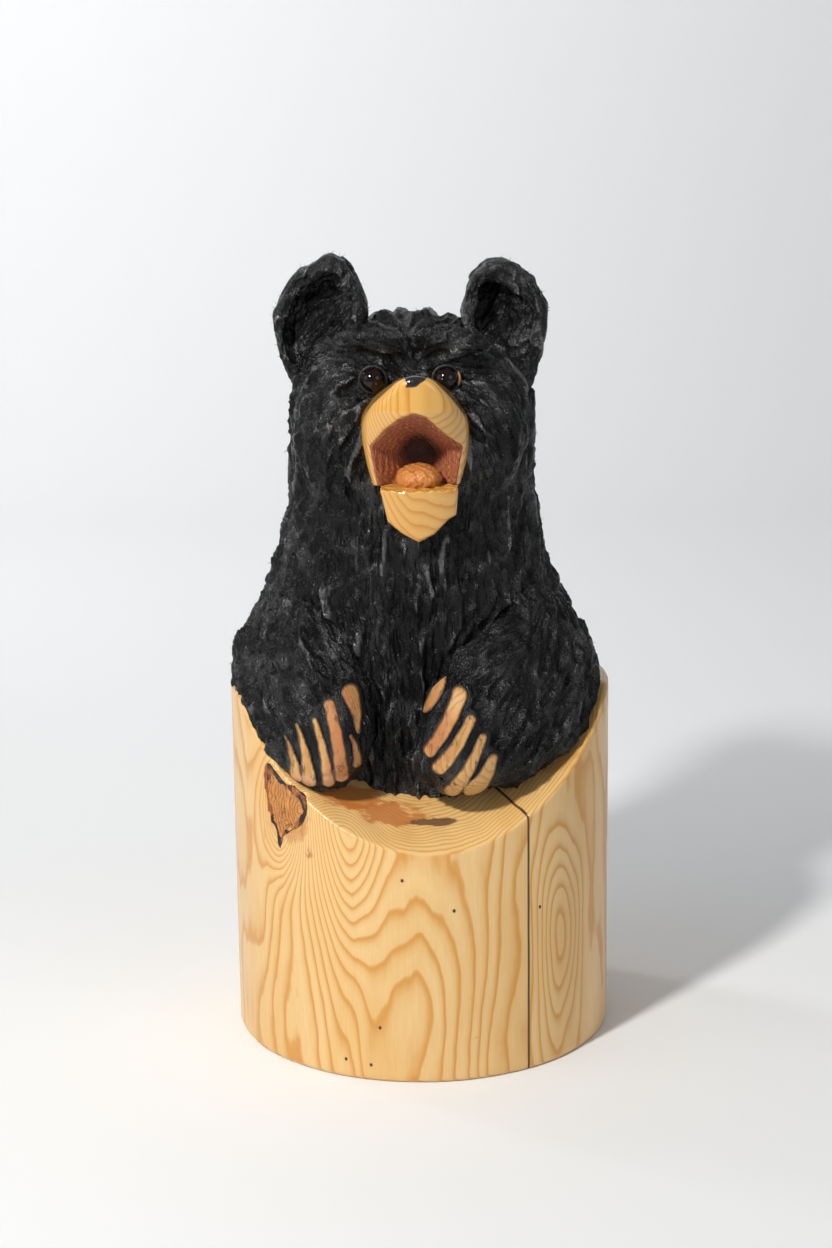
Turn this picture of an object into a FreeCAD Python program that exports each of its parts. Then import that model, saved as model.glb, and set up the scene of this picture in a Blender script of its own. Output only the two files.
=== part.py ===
"""Carved bear bust standing in its own log: a parametric FreeCAD document, in millimetres.

The log's axis is +Z, its sawn foot lies on z = 0 and the bear looks along -Y. Left and right are the
bear's own, so its right side is at -X. The whole carving stays inside the round log that it is cut from.
"""

import FreeCAD
import Part
import math
import os
import Sketcher

from FreeCAD import Placement, Rotation, Vector

FOLDER = "parts"
FULL_TURN = 360
ACROSS = Vector(1, 0, 0)
BACK = Vector(0, 1, 0)
UP = Vector(0, 0, 1)
TINY = 1e-6

# The driving dimensions: alias, value, what it is.
SIZES = [
    ("log_radius", 111, "radius of the turned log"),
    ("log_back_rim", 208, "height of the bare log behind the bear"),
    ("log_foot_chamfer", 1.2, "sanded edge round the foot"),
    ("scoop_radius", 190, "radius of the dished cut that clears the front ledge"),
    ("scoop_low_height", 136, "height of the ledge's rim at the front"),
    ("scoop_low_side", 8, "how far that low point lies to the bear's left"),
    ("scoop_pitch", 24.7, "slope of the ledge up to the bear, degrees"),
    ("split_width", 1.1, "width of the drying split"),
    ("split_depth", 24, "depth of the drying split"),
    ("split_turn", 32.3, "place of the split round the log from the front, degrees"),
    ("knot_turn", -43.6, "place of the branch knot round the log from the front, degrees"),
    ("knot_height", 153, "height of the knot's middle"),
    ("knot_half_width", 11.5, "half width of the knot"),
    ("knot_half_height", 23, "half height of the knot"),
    ("knot_depth", 34, "depth of the knot into the log"),
    ("bark_thickness", 2.2, "thickness of the bark round the knot"),
    ("ear_radius", 27, "radius of the ear's round top"),
    ("ear_foot_half_width", 21, "half width of the ear where it enters the head"),
    ("ear_foot_drop", 44, "length of the ear below the centre of its round top"),
    ("ear_thickness", 24, "thickness of the ear"),
    ("ear_edge_round", 4, "rounding of the ear's edges"),
    ("ear_hollow_radius", 17.5, "radius of the hollow's round top"),
    ("ear_hollow_foot_half_width", 14, "half width of the hollow at its foot"),
    ("ear_hollow_depth", 13, "depth of the hollow"),
    ("ear_hollow_drop", 34, "length of the hollow below its centre"),
    ("ear_lean", 15, "lean of each ear away from the middle, degrees"),
    ("ear_yaw", 14, "turn of each ear's hollow away from the middle, degrees"),
    ("ear_middle", -3, "sideways place of the middle between the ears"),
    ("ear_side", 52, "sideways place of each ear's round top"),
    ("ear_setback", 6, "place of the ears behind the log's axis"),
    ("ear_centre_height", 423.5, "height of the ear's round top's centre"),
    ("eye_radius", 7, "radius of the glass eye"),
    ("eye_setting", 3, "how far the eye's back is cut off behind its centre"),
    ("eye_middle", -4, "sideways place of the middle between the eyes"),
    ("eye_side", 20, "sideways place of each eye"),
    ("eye_setback", -59, "place of the eyes' centres in front of the axis"),
    ("eye_height", 391, "height of the eyes"),
    ("putty_radius", 9, "radius of the drilled and puttied eye hole"),
    ("putty_depth", 14, "depth of the hole behind the eye's centre"),
    ("putty_reach", 3.5, "reach of the putty in front of the eye's centre"),
    ("wire_radius", 0.6, "radius of the eye's wire shank"),
    ("wire_length", 9, "length of the shank behind the glass"),
    ("mouth_half_width", 20.5, "half width of the open mouth"),
    ("mouth_half_depth", 40, "half depth of the open mouth"),
    ("mouth_half_height", 25, "half height of the open mouth"),
    ("mouth_side", -0.5, "sideways place of the mouth's centre"),
    ("mouth_setback", -92, "place of the mouth's centre in front of the axis"),
    ("mouth_height", 353, "height of the mouth's centre"),
    ("lining_thickness", 3, "depth of the stained wood round the mouth"),
    ("jaw_top", 336, "height of the flat cut along the lower jaw"),
    ("tongue_half_width", 12.5, "half width of the tongue"),
    ("tongue_half_length", 17, "half length of the tongue"),
    ("tongue_half_height", 7.5, "half height of the tongue"),
    ("tongue_setback", -70, "place of the tongue's centre in front of the axis"),
    ("tongue_height", 340.5, "height of the tongue's centre"),
    ("nose_half_width", 10, "half width of the black nose"),
    ("nose_half_depth", 8, "half depth of the nose"),
    ("nose_half_height", 5, "half height of the nose"),
    ("nose_setback", -101, "place of the nose's centre in front of the axis"),
    ("nose_height", 395, "height of the nose's centre"),
    ("paw_half_depth", 18, "half depth of a paw, front to back"),
    ("right_paw_half_width", 25, "half width of the right paw"),
    ("right_paw_half_length", 28, "half length of the right paw"),
    ("right_paw_side", -53, "sideways place of the right paw"),
    ("right_paw_setback", -76, "place of the right paw in front of the axis"),
    ("right_paw_height", 190, "height of the right paw"),
    ("right_paw_lean", -12, "lean of the right paw's top to the bear's left, degrees"),
    ("right_claw_step_across", 8.8, "distance across from one right claw to the next"),
    ("right_claw_step_up", 3.6, "rise from one right claw to the next"),
    ("left_paw_half_width", 27, "half width of the left paw"),
    ("left_paw_half_length", 34, "half length of the left paw"),
    ("left_paw_side", 22, "sideways place of the left paw"),
    ("left_paw_setback", -84, "place of the left paw in front of the axis"),
    ("left_paw_height", 191, "height of the left paw"),
    ("left_paw_lean", 30, "lean of the left paw's top to the bear's left, degrees"),
    ("left_claw_step_across", 5.6, "distance across from one left claw to the next"),
    ("left_claw_step_up", -8.4, "rise from one left claw to the next"),
    ("claw_half_width", 3.2, "half width of a bare wood claw"),
    ("claw_half_depth", 4, "half depth of a claw"),
    ("claw_half_length", 14, "half length of a claw"),
]

# Lofted forms. Each row is one oval section: its centre x, y, z, its half width across and its half depth.
SECTIONS = {
    "torso": [
        (2, 8, 120, 94, 78),
        (1, 10, 165, 97, 80),
        (-2, 14, 205, 98, 86),
        (-4, 10, 248, 86, 82),
        (-3, 1, 292, 75, 73),
    ],
    "head": [
        (-3, 1, 292, 75, 73),
        (-3, -1, 322, 71, 70.5),
        (-3, -3, 362, 71, 68),
        (-3, -4, 394, 65, 62),
        (-3, -5, 412, 50, 49),
        (-3, -6, 421, 29, 28),
    ],
    "right_arm": [
        (-54, -72, 196, 27, 24),
        (-66, -58, 214, 36, 33),
        (-72, -36, 242, 35, 34),
        (-62, -15, 272, 25, 25),
        (-54, -6, 292, 17, 17),
    ],
    "left_arm": [
        (28, -74, 190, 27, 24),
        (48, -62, 206, 35, 32),
        (66, -40, 226, 36, 35),
        (62, -20, 256, 28, 28),
        (52, -8, 284, 18, 18),
    ],
    "muzzle": [
        (-0.5, -48, 360, 30, 29.5),
        (-0.5, -70, 364, 29, 28.5),
        (-0.5, -88, 374, 25.5, 22),
        (-0.5, -100, 386, 16, 12),
        (-0.5, -105, 391, 7, 5),
    ],
    "jaw": [
        (0.5, -48, 316, 23, 19),
        (0.5, -74, 320, 22, 17),
        (0.5, -90, 327, 16, 11),
        (0.5, -95, 330, 10, 6),
    ],
}
SECTION_PARTS = ("x", "y", "z", "wide", "deep")


def fill_sheet(doc):
    """Writes every driving dimension to the spreadsheet, and returns their values by alias."""
    sheet = doc.addObject("Spreadsheet::Sheet", "sizes")
    rows = list(SIZES)
    for form, sections in SECTIONS.items():
        for number, section in enumerate(sections):
            for part, value in zip(SECTION_PARTS, section):
                rows.append((f"{form}_section{number}_{part}", value, f"{form}, section {number}, {part}"))
    for line, (alias, value, note) in enumerate(rows, start=1):
        sheet.set(f"A{line}", note)
        sheet.set(f"B{line}", str(value))
        sheet.setAlias(f"B{line}", alias)
    doc.recompute()
    return {alias: float(value) for alias, value, _ in rows}


def bind(thing, **formulas):
    """Binds properties to formulas of spreadsheet cells. A double underscore in a name stands for a dot."""
    for name, formula in formulas.items():
        thing.setExpression(name.replace("__", "."), formula)


def turned(axis, degrees):
    """A placement at the origin, turned about an axis."""
    return Placement(Vector(), Rotation(axis, degrees))


def made(doc, kind, name, **formulas):
    """A new object of the document, with its sizes bound."""
    thing = doc.addObject(kind, name)
    bind(thing, **formulas)
    return thing


def cut(doc, name, base, *tools):
    """base with every tool taken away."""
    for number, tool in enumerate(tools):
        base_name = name if number == len(tools) - 1 else f"{name}_less_{tool.Name}"
        step = doc.addObject("Part::Cut", base_name)
        step.Base, step.Tool = base, tool
        base = step
    return base


def common(doc, name, base, tool):
    """What base and tool share."""
    both = doc.addObject("Part::Common", name)
    both.Base, both.Tool = base, tool
    return both


def oval(doc, name, half_x, half_y, half_z, x, y, z):
    """An ellipsoid. Its half sizes along X, Y and Z are the properties Radius2, Radius3 and Radius1."""
    return made(
        doc, "Part::Ellipsoid", name,
        Radius2=half_x, Radius3=half_y, Radius1=half_z,
        Placement__Base__x=x, Placement__Base__y=y, Placement__Base__z=z,
    )


def loft(doc, form, upright):
    """A solid through oval sections, which lie level, or square to the line through their centres."""
    centres = [Vector(*section[:3]) for section in SECTIONS[form]]
    ovals = []
    for number, centre in enumerate(centres):
        before = centres[max(number - 1, 0)]
        after = centres[min(number + 1, len(centres) - 1)]
        direction = UP if upright else after - before
        cell = f"sizes.{form}_section{number}"
        section = doc.addObject("Part::Ellipse", f"{form}_section{number}")
        section.Placement = Placement(centre, Rotation(UP, direction))
        bind(
            section,
            MajorRadius=f"{cell}_wide", MinorRadius=f"{cell}_deep",
            Placement__Base__x=f"{cell}_x", Placement__Base__y=f"{cell}_y", Placement__Base__z=f"{cell}_z",
        )
        ovals.append(section)
    solid = doc.addObject("Part::Loft", f"{form}_form")
    solid.Sections, solid.Solid, solid.Ruled = ovals, True, False
    return solid


def plane_of(body, role):
    """The body's own origin plane of that role."""
    return next(f for f in body.Origin.OriginFeatures if f.Role == role)


def sketch_on(body, name, role, offset=Placement()):
    """A new sketch of the body, on one of its origin planes."""
    sketch = body.newObject("Sketcher::SketchObject", name)
    sketch.AttachmentSupport = [(plane_of(body, role), "")]
    sketch.MapMode = "FlatFace"
    sketch.AttachmentOffset = offset
    return sketch


def log_blank(doc):
    """The turned log with its sanded foot and the dished ledge cut, before the split and the knot."""
    body = doc.addObject("PartDesign::Body", "log_blank")
    outline = sketch_on(body, "log_outline", "XY_Plane")
    rough_radius = 100  # the constraint below sets the real one
    outline.addGeometry(Part.Circle(Vector(), UP, rough_radius), False)
    outline.addConstraint(Sketcher.Constraint("Coincident", 0, 3, -1, 1))
    radius = outline.addConstraint(Sketcher.Constraint("Radius", 0, rough_radius))
    outline.setExpression(f"Constraints[{radius}]", "sizes.log_radius")
    pad = body.newObject("PartDesign::Pad", "log_pad")
    pad.Profile = outline
    bind(pad, Length="sizes.log_back_rim")
    doc.recompute()
    foot = [
        f"Edge{number}"
        for number, edge in enumerate(pad.Shape.Edges, start=1)
        if edge.BoundBox.ZMax < TINY
    ]
    chamfer = body.newObject("PartDesign::Chamfer", "log_foot_chamfer")
    chamfer.Base = (pad, foot)
    bind(chamfer, Size="sizes.log_foot_chamfer")
    doc.recompute()
    scoop = body.newObject("PartDesign::SubtractiveCylinder", "ledge_scoop")
    scoop.Placement = turned(-ACROSS, FULL_TURN / 4)
    bind(
        scoop,
        Radius="sizes.scoop_radius",
        Height="6 * sizes.log_radius",
        Placement__Rotation__Angle="(90 - sizes.scoop_pitch) * 1 deg",
        Placement__Base__x="sizes.scoop_low_side",
        Placement__Base__y="-sizes.log_radius - sizes.scoop_radius * sin(sizes.scoop_pitch * 1 deg)"
        " - 2 * sizes.log_radius * cos(sizes.scoop_pitch * 1 deg)",
        Placement__Base__z="sizes.scoop_low_height + sizes.scoop_radius * cos(sizes.scoop_pitch * 1 deg)"
        " - 2 * sizes.log_radius * sin(sizes.scoop_pitch * 1 deg)",
    )
    doc.recompute()
    body.Tip = scoop
    if scoop.Shape.Volume >= chamfer.Shape.Volume:
        raise RuntimeError("the ledge scoop cuts nothing")
    return body


def drying_split(doc):
    """The thin radial slot of the split, as a box to cut away."""
    return made(
        doc, "Part::Box", "split_slot",
        Length="sizes.split_width", Width="2 * sizes.split_depth", Height="2 * sizes.log_back_rim",
        Placement__Base__x="(sizes.log_radius + sizes.split_depth) * sin(sizes.split_turn * 1 deg)",
        Placement__Base__y="-(sizes.log_radius + sizes.split_depth) * cos(sizes.split_turn * 1 deg)",
        Placement__Base__z="-sizes.split_width",
        Placement__Rotation__Angle="sizes.split_turn * 1 deg",
    )


def knot_form(doc, name, margin):
    """A radial oval at the knot's place, larger by margin, a formula, all round."""
    form = oval(
        doc, name,
        f"sizes.knot_half_width + {margin}",
        f"sizes.knot_depth + {margin}",
        f"sizes.knot_half_height + {margin}",
        "sizes.log_radius * sin(sizes.knot_turn * 1 deg)",
        "-sizes.log_radius * cos(sizes.knot_turn * 1 deg)",
        "sizes.knot_height",
    )
    form.Placement = turned(-UP, FULL_TURN / 4)
    bind(form, Placement__Rotation__Angle="-sizes.knot_turn * 1 deg")
    return form


def ear_outline(sketch, radius, foot_half_width, drop):
    """A round top over two straight sides that close in to the foot. The sizes are aliases."""
    top, foot = 30, 40  # rough sizes, which the constraints below replace
    sketch.addGeometry(Part.ArcOfCircle(Part.Circle(Vector(), UP, top), 0, math.pi), False)
    sketch.addGeometry(Part.LineSegment(Vector(-top, 0, 0), Vector(-top, -foot, 0)), False)
    sketch.addGeometry(Part.LineSegment(Vector(-top, -foot, 0), Vector(top, -foot, 0)), False)
    sketch.addGeometry(Part.LineSegment(Vector(top, -foot, 0), Vector(top, 0, 0)), False)
    for constraint in (
        Sketcher.Constraint("Coincident", 0, 3, -1, 1),
        Sketcher.Constraint("Coincident", 0, 2, 1, 1),
        Sketcher.Constraint("Coincident", 1, 2, 2, 1),
        Sketcher.Constraint("Coincident", 2, 2, 3, 1),
        Sketcher.Constraint("Coincident", 3, 2, 0, 1),
        Sketcher.Constraint("PointOnObject", 0, 1, -1),
        Sketcher.Constraint("PointOnObject", 0, 2, -1),
        Sketcher.Constraint("Symmetric", 1, 2, 2, 2, -2),
    ):
        sketch.addConstraint(constraint)
    for constraint, formula in (
        (Sketcher.Constraint("Radius", 0, top), f"sizes.{radius}"),
        (Sketcher.Constraint("DistanceX", 2, 1, 2, 2, 2 * top), f"2 * sizes.{foot_half_width}"),
        (Sketcher.Constraint("DistanceY", 2, 1, 1, 1, foot), f"sizes.{drop}"),
    ):
        number = sketch.addConstraint(constraint)
        sketch.setExpression(f"Constraints[{number}]", formula)


def ear(doc, name, side, size):
    """An ear: a thick rounded slab with a hollow in front. side is -1 for the right ear, 1 for the left."""
    body = doc.addObject("PartDesign::Body", f"{name}_blank")
    outline = sketch_on(body, f"{name}_outline", "XZ_Plane")
    ear_outline(outline, "ear_radius", "ear_foot_half_width", "ear_foot_drop")
    slab = body.newObject("PartDesign::Pad", f"{name}_slab")
    slab.Profile, slab.Midplane = outline, True
    bind(slab, Length="sizes.ear_thickness")
    doc.recompute()
    half = size["ear_thickness"] / 2
    rims = [
        f"Edge{number}"
        for number, edge in enumerate(slab.Shape.Edges, start=1)
        if edge.BoundBox.YLength < TINY and edge.BoundBox.ZLength > TINY
    ]
    rounded = body.newObject("PartDesign::Fillet", f"{name}_rounded")
    rounded.Base = (slab, rims)
    bind(rounded, Radius="sizes.ear_edge_round")
    doc.recompute()
    front = Placement(Vector(0, 0, half), Rotation())
    hollow_outline = sketch_on(body, f"{name}_hollow_outline", "XZ_Plane", front)
    bind(hollow_outline, AttachmentOffset__Base__z="sizes.ear_thickness / 2")
    ear_outline(hollow_outline, "ear_hollow_radius", "ear_hollow_foot_half_width", "ear_hollow_drop")
    hollow = body.newObject("PartDesign::Pocket", f"{name}_hollow")
    hollow.Profile = hollow_outline
    bind(hollow, Length="sizes.ear_hollow_depth")
    doc.recompute()
    if hollow.Shape.Volume >= rounded.Shape.Volume:
        raise RuntimeError(f"the hollow of {name} cuts nothing")
    body.Tip = hollow
    lean = Rotation(BACK, side * size["ear_lean"])
    yaw = Rotation(UP, side * size["ear_yaw"])
    body.Placement = Placement(Vector(), yaw.multiply(lean))
    bind(
        body,
        Placement__Base__x=f"sizes.ear_middle + {side} * sizes.ear_side",
        Placement__Base__y="sizes.ear_setback",
        Placement__Base__z="sizes.ear_centre_height",
    )
    return body


def glass_eye(doc, name, side):
    """A glass ball cut flat behind, as a revolved body whose axis points forwards."""
    body = doc.addObject("PartDesign::Body", name)
    profile = sketch_on(body, f"{name}_profile", "XY_Plane")
    radius, back = 7.0, 3.0  # rough sizes, which the constraints below replace
    half_back = math.sqrt(radius**2 - back**2)
    start = math.atan2(-back, half_back)
    profile.addGeometry(
        Part.ArcOfCircle(Part.Circle(Vector(), UP, radius), start, math.pi / 2), False
    )
    profile.addGeometry(Part.LineSegment(Vector(0, radius, 0), Vector(0, -back, 0)), False)
    profile.addGeometry(Part.LineSegment(Vector(0, -back, 0), Vector(half_back, -back, 0)), False)
    for constraint in (
        Sketcher.Constraint("Coincident", 0, 3, -1, 1),
        Sketcher.Constraint("Coincident", 0, 2, 1, 1),
        Sketcher.Constraint("Coincident", 1, 2, 2, 1),
        Sketcher.Constraint("Coincident", 2, 2, 0, 1),
        Sketcher.Constraint("PointOnObject", 1, 1, -2),
        Sketcher.Constraint("Vertical", 1),
        Sketcher.Constraint("Horizontal", 2),
    ):
        profile.addConstraint(constraint)
    for constraint, formula in (
        (Sketcher.Constraint("Radius", 0, radius), "sizes.eye_radius"),
        (Sketcher.Constraint("DistanceY", 1, 2, -1, 1, back), "sizes.eye_setting"),
    ):
        number = profile.addConstraint(constraint)
        profile.setExpression(f"Constraints[{number}]", formula)
    ball = body.newObject("PartDesign::Revolution", f"{name}_ball")
    ball.Profile = profile
    ball.ReferenceAxis = (profile, ["V_Axis"])
    ball.Angle = FULL_TURN
    doc.recompute()
    body.Placement = turned(UP, FULL_TURN / 2)
    bind(
        body,
        Placement__Base__x=f"sizes.eye_middle + {side} * sizes.eye_side",
        Placement__Base__y="sizes.eye_setback",
        Placement__Base__z="sizes.eye_height",
    )
    return body


def rod_behind_eye(doc, name, side, radius, reach, length):
    """A round rod along Y, level with an eye, from reach in front of its centre, back through length."""
    rod = doc.addObject("Part::Cylinder", name)
    rod.Placement = turned(ACROSS, -FULL_TURN / 4)
    bind(
        rod, Radius=radius, Height=length,
        Placement__Base__x=f"sizes.eye_middle + {side} * sizes.eye_side",
        Placement__Base__y=f"sizes.eye_setback - ({reach})",
        Placement__Base__z="sizes.eye_height",
    )
    return rod


def paw(doc, side):
    """A rounded paw that leans across the front. side is right or left."""
    form = oval(
        doc, f"{side}_paw_form",
        f"sizes.{side}_paw_half_width", "sizes.paw_half_depth", f"sizes.{side}_paw_half_length",
        f"sizes.{side}_paw_side", f"sizes.{side}_paw_setback", f"sizes.{side}_paw_height",
    )
    form.Placement = turned(BACK, FULL_TURN / 4)
    bind(form, Placement__Rotation__Angle=f"sizes.{side}_paw_lean * 1 deg")
    return form


def claws(doc, side, size):
    """Five bare wood claws side by side on the front of a paw, as one group of separate solids."""
    lean = Rotation(BACK, size[f"{side}_paw_lean"])
    middle = Vector(*[size[f"{side}_paw_{word}"] for word in ("side", "setback", "height")])
    group = []
    for number in range(-2, 3):
        offset = Vector(number * size[f"{side}_claw_step_across"], 0, number * size[f"{side}_claw_step_up"])
        on_paw = lean.inverted().multVec(offset)
        off_middle = math.hypot(
            on_paw.x / size[f"{side}_paw_half_width"], on_paw.z / size[f"{side}_paw_half_length"]
        )
        offset.y = -size["paw_half_depth"] * math.sqrt(1 - off_middle**2)
        claw = doc.addObject("Part::Ellipsoid", f"{side}_claw_{number + 3}")
        bind(claw, Radius2="sizes.claw_half_width", Radius3="sizes.claw_half_depth")
        bind(claw, Radius1="sizes.claw_half_length")
        claw.Placement = Placement(middle + offset, lean)
        group.append(claw)
    whole = doc.addObject("Part::Compound", f"{side}_claws")
    whole.Links = group
    return whole


def log_parts(doc, blank):
    """The bare log, its branch knot and the bark round the knot."""
    bark_outer = knot_form(doc, "bark_outer", "sizes.bark_thickness")
    knot_outer = knot_form(doc, "knot_outer", "0")
    return {
        "log_base": cut(doc, "log_base", blank, bark_outer, drying_split(doc)),
        "branch_knot": common(doc, "branch_knot", knot_outer, blank),
        "knot_bark": cut(doc, "knot_bark", common(doc, "bark_in_log", bark_outer, blank), knot_outer),
    }


def mouth_parts(doc):
    """The upper muzzle, the stained mouth lining, the tongue, the lower jaw and the nose."""
    muzzle, jaw = loft(doc, "muzzle", False), loft(doc, "jaw", False)
    place = ("sizes.mouth_side", "sizes.mouth_setback", "sizes.mouth_height")
    halves = [f"sizes.mouth_half_{word}" for word in ("width", "depth", "height")]
    hollow = oval(doc, "mouth_hollow", *halves, *place)
    lining = oval(doc, "lining_outer", *[f"{half} + sizes.lining_thickness" for half in halves], *place)
    above_jaw = made(
        doc, "Part::Box", "above_jaw",
        Length="sizes.log_radius", Width="sizes.log_radius", Height="sizes.log_radius",
        Placement__Base__x="-sizes.log_radius / 2",
        Placement__Base__y="-1.3 * sizes.log_radius",
        Placement__Base__z="sizes.jaw_top",
    )
    tongue = oval(
        doc, "tongue_form",
        "sizes.tongue_half_width", "sizes.tongue_half_length", "sizes.tongue_half_height",
        "sizes.mouth_side", "sizes.tongue_setback", "sizes.tongue_height",
    )
    nose = oval(
        doc, "nose_form",
        "sizes.nose_half_width", "sizes.nose_half_depth", "sizes.nose_half_height",
        "sizes.mouth_side", "sizes.nose_setback", "sizes.nose_height",
    )
    upper = common(doc, "muzzle_above_cut", muzzle, above_jaw)
    lower = cut(doc, "jaw_below_cut", jaw, above_jaw)
    tongue_above = common(doc, "tongue_above_cut", tongue, above_jaw)
    pieces = {
        "upper_muzzle": cut(doc, "upper_muzzle", upper, lining, nose),
        "mouth_lining": cut(
            doc, "mouth_lining", common(doc, "lining_in_muzzle", lining, upper), hollow, tongue_above, nose
        ),
        "tongue": common(doc, "tongue", tongue_above, upper),
        "lower_jaw": lower,
        "nose": common(doc, "nose", nose, upper),
    }
    return pieces, [upper, lower]


def eye_parts(doc):
    """Two glass eyes with wire shanks, each bedded in a puttied hole."""
    pieces, holes = {}, []
    for name, side in (("right", -1), ("left", 1)):
        glass = glass_eye(doc, f"{name}_eye", side)
        wire = rod_behind_eye(
            doc, f"{name}_eye_wire", side, "sizes.wire_radius", "-sizes.eye_setting", "sizes.wire_length"
        )
        hole = rod_behind_eye(
            doc, f"{name}_eye_hole", side, "sizes.putty_radius", "sizes.putty_reach",
            "sizes.putty_reach + sizes.putty_depth",
        )
        pieces[f"{name}_eye"] = glass
        pieces[f"{name}_eye_wire"] = wire
        pieces[f"{name}_eye_putty"] = cut(doc, f"{name}_eye_putty", hole, glass, wire)
        holes += [hole, glass]
    return pieces, holes


def bear_parts(doc, blank, size):
    """Every part of the bear, each cut back where another one stands, so that they meet face to face."""
    round_log = made(
        doc, "Part::Cylinder", "round_log", Radius="sizes.log_radius", Height="5 * sizes.log_radius"
    )
    face, face_solids = mouth_parts(doc)
    eyes, eye_solids = eye_parts(doc)
    arms, paws, claw_sets, paw_forms = {}, {}, {}, []
    for side in ("right", "left"):
        paw_form, own_claws = paw(doc, side), claws(doc, side, size)
        paw_in_log = common(doc, f"{side}_paw_in_log", paw_form, round_log)
        paws[f"{side}_paw"] = cut(doc, f"{side}_paw", paw_in_log, blank, own_claws)
        arm_in_log = common(doc, f"{side}_arm_in_log", loft(doc, f"{side}_arm", False), round_log)
        arms[f"{side}_arm"] = cut(doc, f"{side}_arm", arm_in_log, blank, paw_form, own_claws)
        claw_sets[f"{side}_claws"] = own_claws
        paw_forms.append(paw_form)
    head_form, torso_form = loft(doc, "head", True), loft(doc, "torso", True)
    limbs = [*arms.values(), *paw_forms]
    torso = cut(doc, "torso", torso_form, blank, *limbs)
    head = cut(doc, "head", head_form, *limbs[:2], *face_solids, *eye_solids)
    ears = {
        "right_ear": cut(doc, "right_ear", ear(doc, "right_ear", -1, size), head_form),
        "left_ear": cut(doc, "left_ear", ear(doc, "left_ear", 1, size), head_form),
    }
    return {"torso": torso, "head": head, **arms, **paws, **claw_sets, **ears, **face, **eyes}


def check(doc, pieces):
    """Stops if any object failed to compute, or any piece is not a sound solid."""
    broken = [o.Name for o in doc.Objects if {"Invalid", "Error"} & set(o.State)]
    if broken:
        raise RuntimeError(f"these objects failed: {broken}")
    for label, piece in pieces.items():
        shape = piece.Shape
        if shape.isNull() or not shape.isValid() or not shape.Solids:
            raise RuntimeError(f"{label} is not a sound solid")


def main():
    doc = FreeCAD.newDocument("carved_bear")
    size = fill_sheet(doc)
    blank = log_blank(doc)
    pieces = {**log_parts(doc, blank), **bear_parts(doc, blank, size)}
    doc.recompute()
    check(doc, pieces)
    os.makedirs(FOLDER, exist_ok=True)
    for label, piece in pieces.items():
        piece.Label = label
        piece.Shape.exportStep(os.path.join(FOLDER, f"{label}.step"))
        print(label, len(piece.Shape.Solids), "solid(s),", round(piece.Shape.Volume), "mm3")


main()
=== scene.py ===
import math

import bmesh
import bpy
import numpy as np
import openvdb
from bpy.props import FloatProperty, FloatVectorProperty, IntProperty, PointerProperty
from mathutils import Matrix, Vector


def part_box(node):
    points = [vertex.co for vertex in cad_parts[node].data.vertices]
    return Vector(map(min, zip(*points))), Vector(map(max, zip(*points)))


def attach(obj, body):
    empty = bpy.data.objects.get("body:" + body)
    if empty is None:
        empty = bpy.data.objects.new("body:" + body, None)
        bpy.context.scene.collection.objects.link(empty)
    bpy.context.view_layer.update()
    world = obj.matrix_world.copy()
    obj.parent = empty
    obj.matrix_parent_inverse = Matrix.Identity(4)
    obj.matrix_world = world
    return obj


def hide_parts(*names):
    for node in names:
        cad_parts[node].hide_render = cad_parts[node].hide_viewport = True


bl_info = {
    "name": "Carved log bear",
    "version": (1, 0, 0),
    "blender": (4, 5, 0),
    "location": "View3D > Sidebar > Carved Bear",
    "description": "Makes a bear bust carved from a pine log, round its packed frame",
    "category": "Add Mesh",
}

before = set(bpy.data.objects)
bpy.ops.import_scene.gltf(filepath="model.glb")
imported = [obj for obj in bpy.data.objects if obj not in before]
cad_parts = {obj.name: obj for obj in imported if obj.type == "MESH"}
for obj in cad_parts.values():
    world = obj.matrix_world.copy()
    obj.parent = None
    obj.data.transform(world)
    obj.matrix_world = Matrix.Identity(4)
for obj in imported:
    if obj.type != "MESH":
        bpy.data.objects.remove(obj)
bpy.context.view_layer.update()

MM = 0.001


# Places, all read from the frame and given in millimetres


def low(node):
    return np.array(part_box(node)[0]) / MM


def high(node):
    return np.array(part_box(node)[1]) / MM


def middle(node):
    return (low(node) + high(node)) / 2


def near(node, across, back, up):
    """The point at that offset from the middle of a node's box."""
    return middle(node) + np.array((across, back, up), float)


LOG_RADIUS = (high("log_base")[0] - low("log_base")[0]) / 2
LOG_TOP = high("log_base")[2]
SPLIT_ANGLE = math.radians(32.3)

# Small holes in the log, painted as dark spots of shade: degrees round from its front, height
HOLES = ((-5.9, 119.9), (8.9, 101.8), (36.4, 96.2), (-13.0, 32.4), (-23.7, 11.2), (-15.9, 9.6))


# Settings


class BearSizes(bpy.types.PropertyGroup):
    """Sizes that a carver would choose."""

    gouge_depth: FloatProperty(
        name="Gouge depth", description="Depth of the fur's gouge cuts",
        default=4.2 * MM, min=0.0, max=6 * MM, unit="LENGTH",
    )
    gouge_width: FloatProperty(
        name="Gouge width", description="Half width of a cut of the usual size",
        default=4.1 * MM, min=1 * MM, max=8 * MM, unit="LENGTH",
    )
    fur_mesh: FloatProperty(
        name="Fur mesh", description="Edge length of the fur's mesh",
        default=1.15 * MM, min=0.6 * MM, max=6 * MM, unit="LENGTH",
    )
    smooth_mesh: FloatProperty(
        name="Smooth mesh", description="Edge length of the muzzle's and the claws' mesh",
        default=0.8 * MM, min=0.4 * MM, max=4 * MM, unit="LENGTH",
    )
    ring_pitch: FloatProperty(
        name="Ring pitch", description="Distance from one growth ring to the next",
        default=2.4 * MM, min=0.5 * MM, max=8 * MM, unit="LENGTH",
    )
    splinters: IntProperty(
        name="Splinters", description="How many fine splinters stand on the fur",
        default=900, min=0, max=5000,
    )


def colour(name, description, default):
    return FloatVectorProperty(
        name=name, description=description, default=default, subtype="COLOR", size=3, min=0.0, max=1.0
    )


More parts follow.
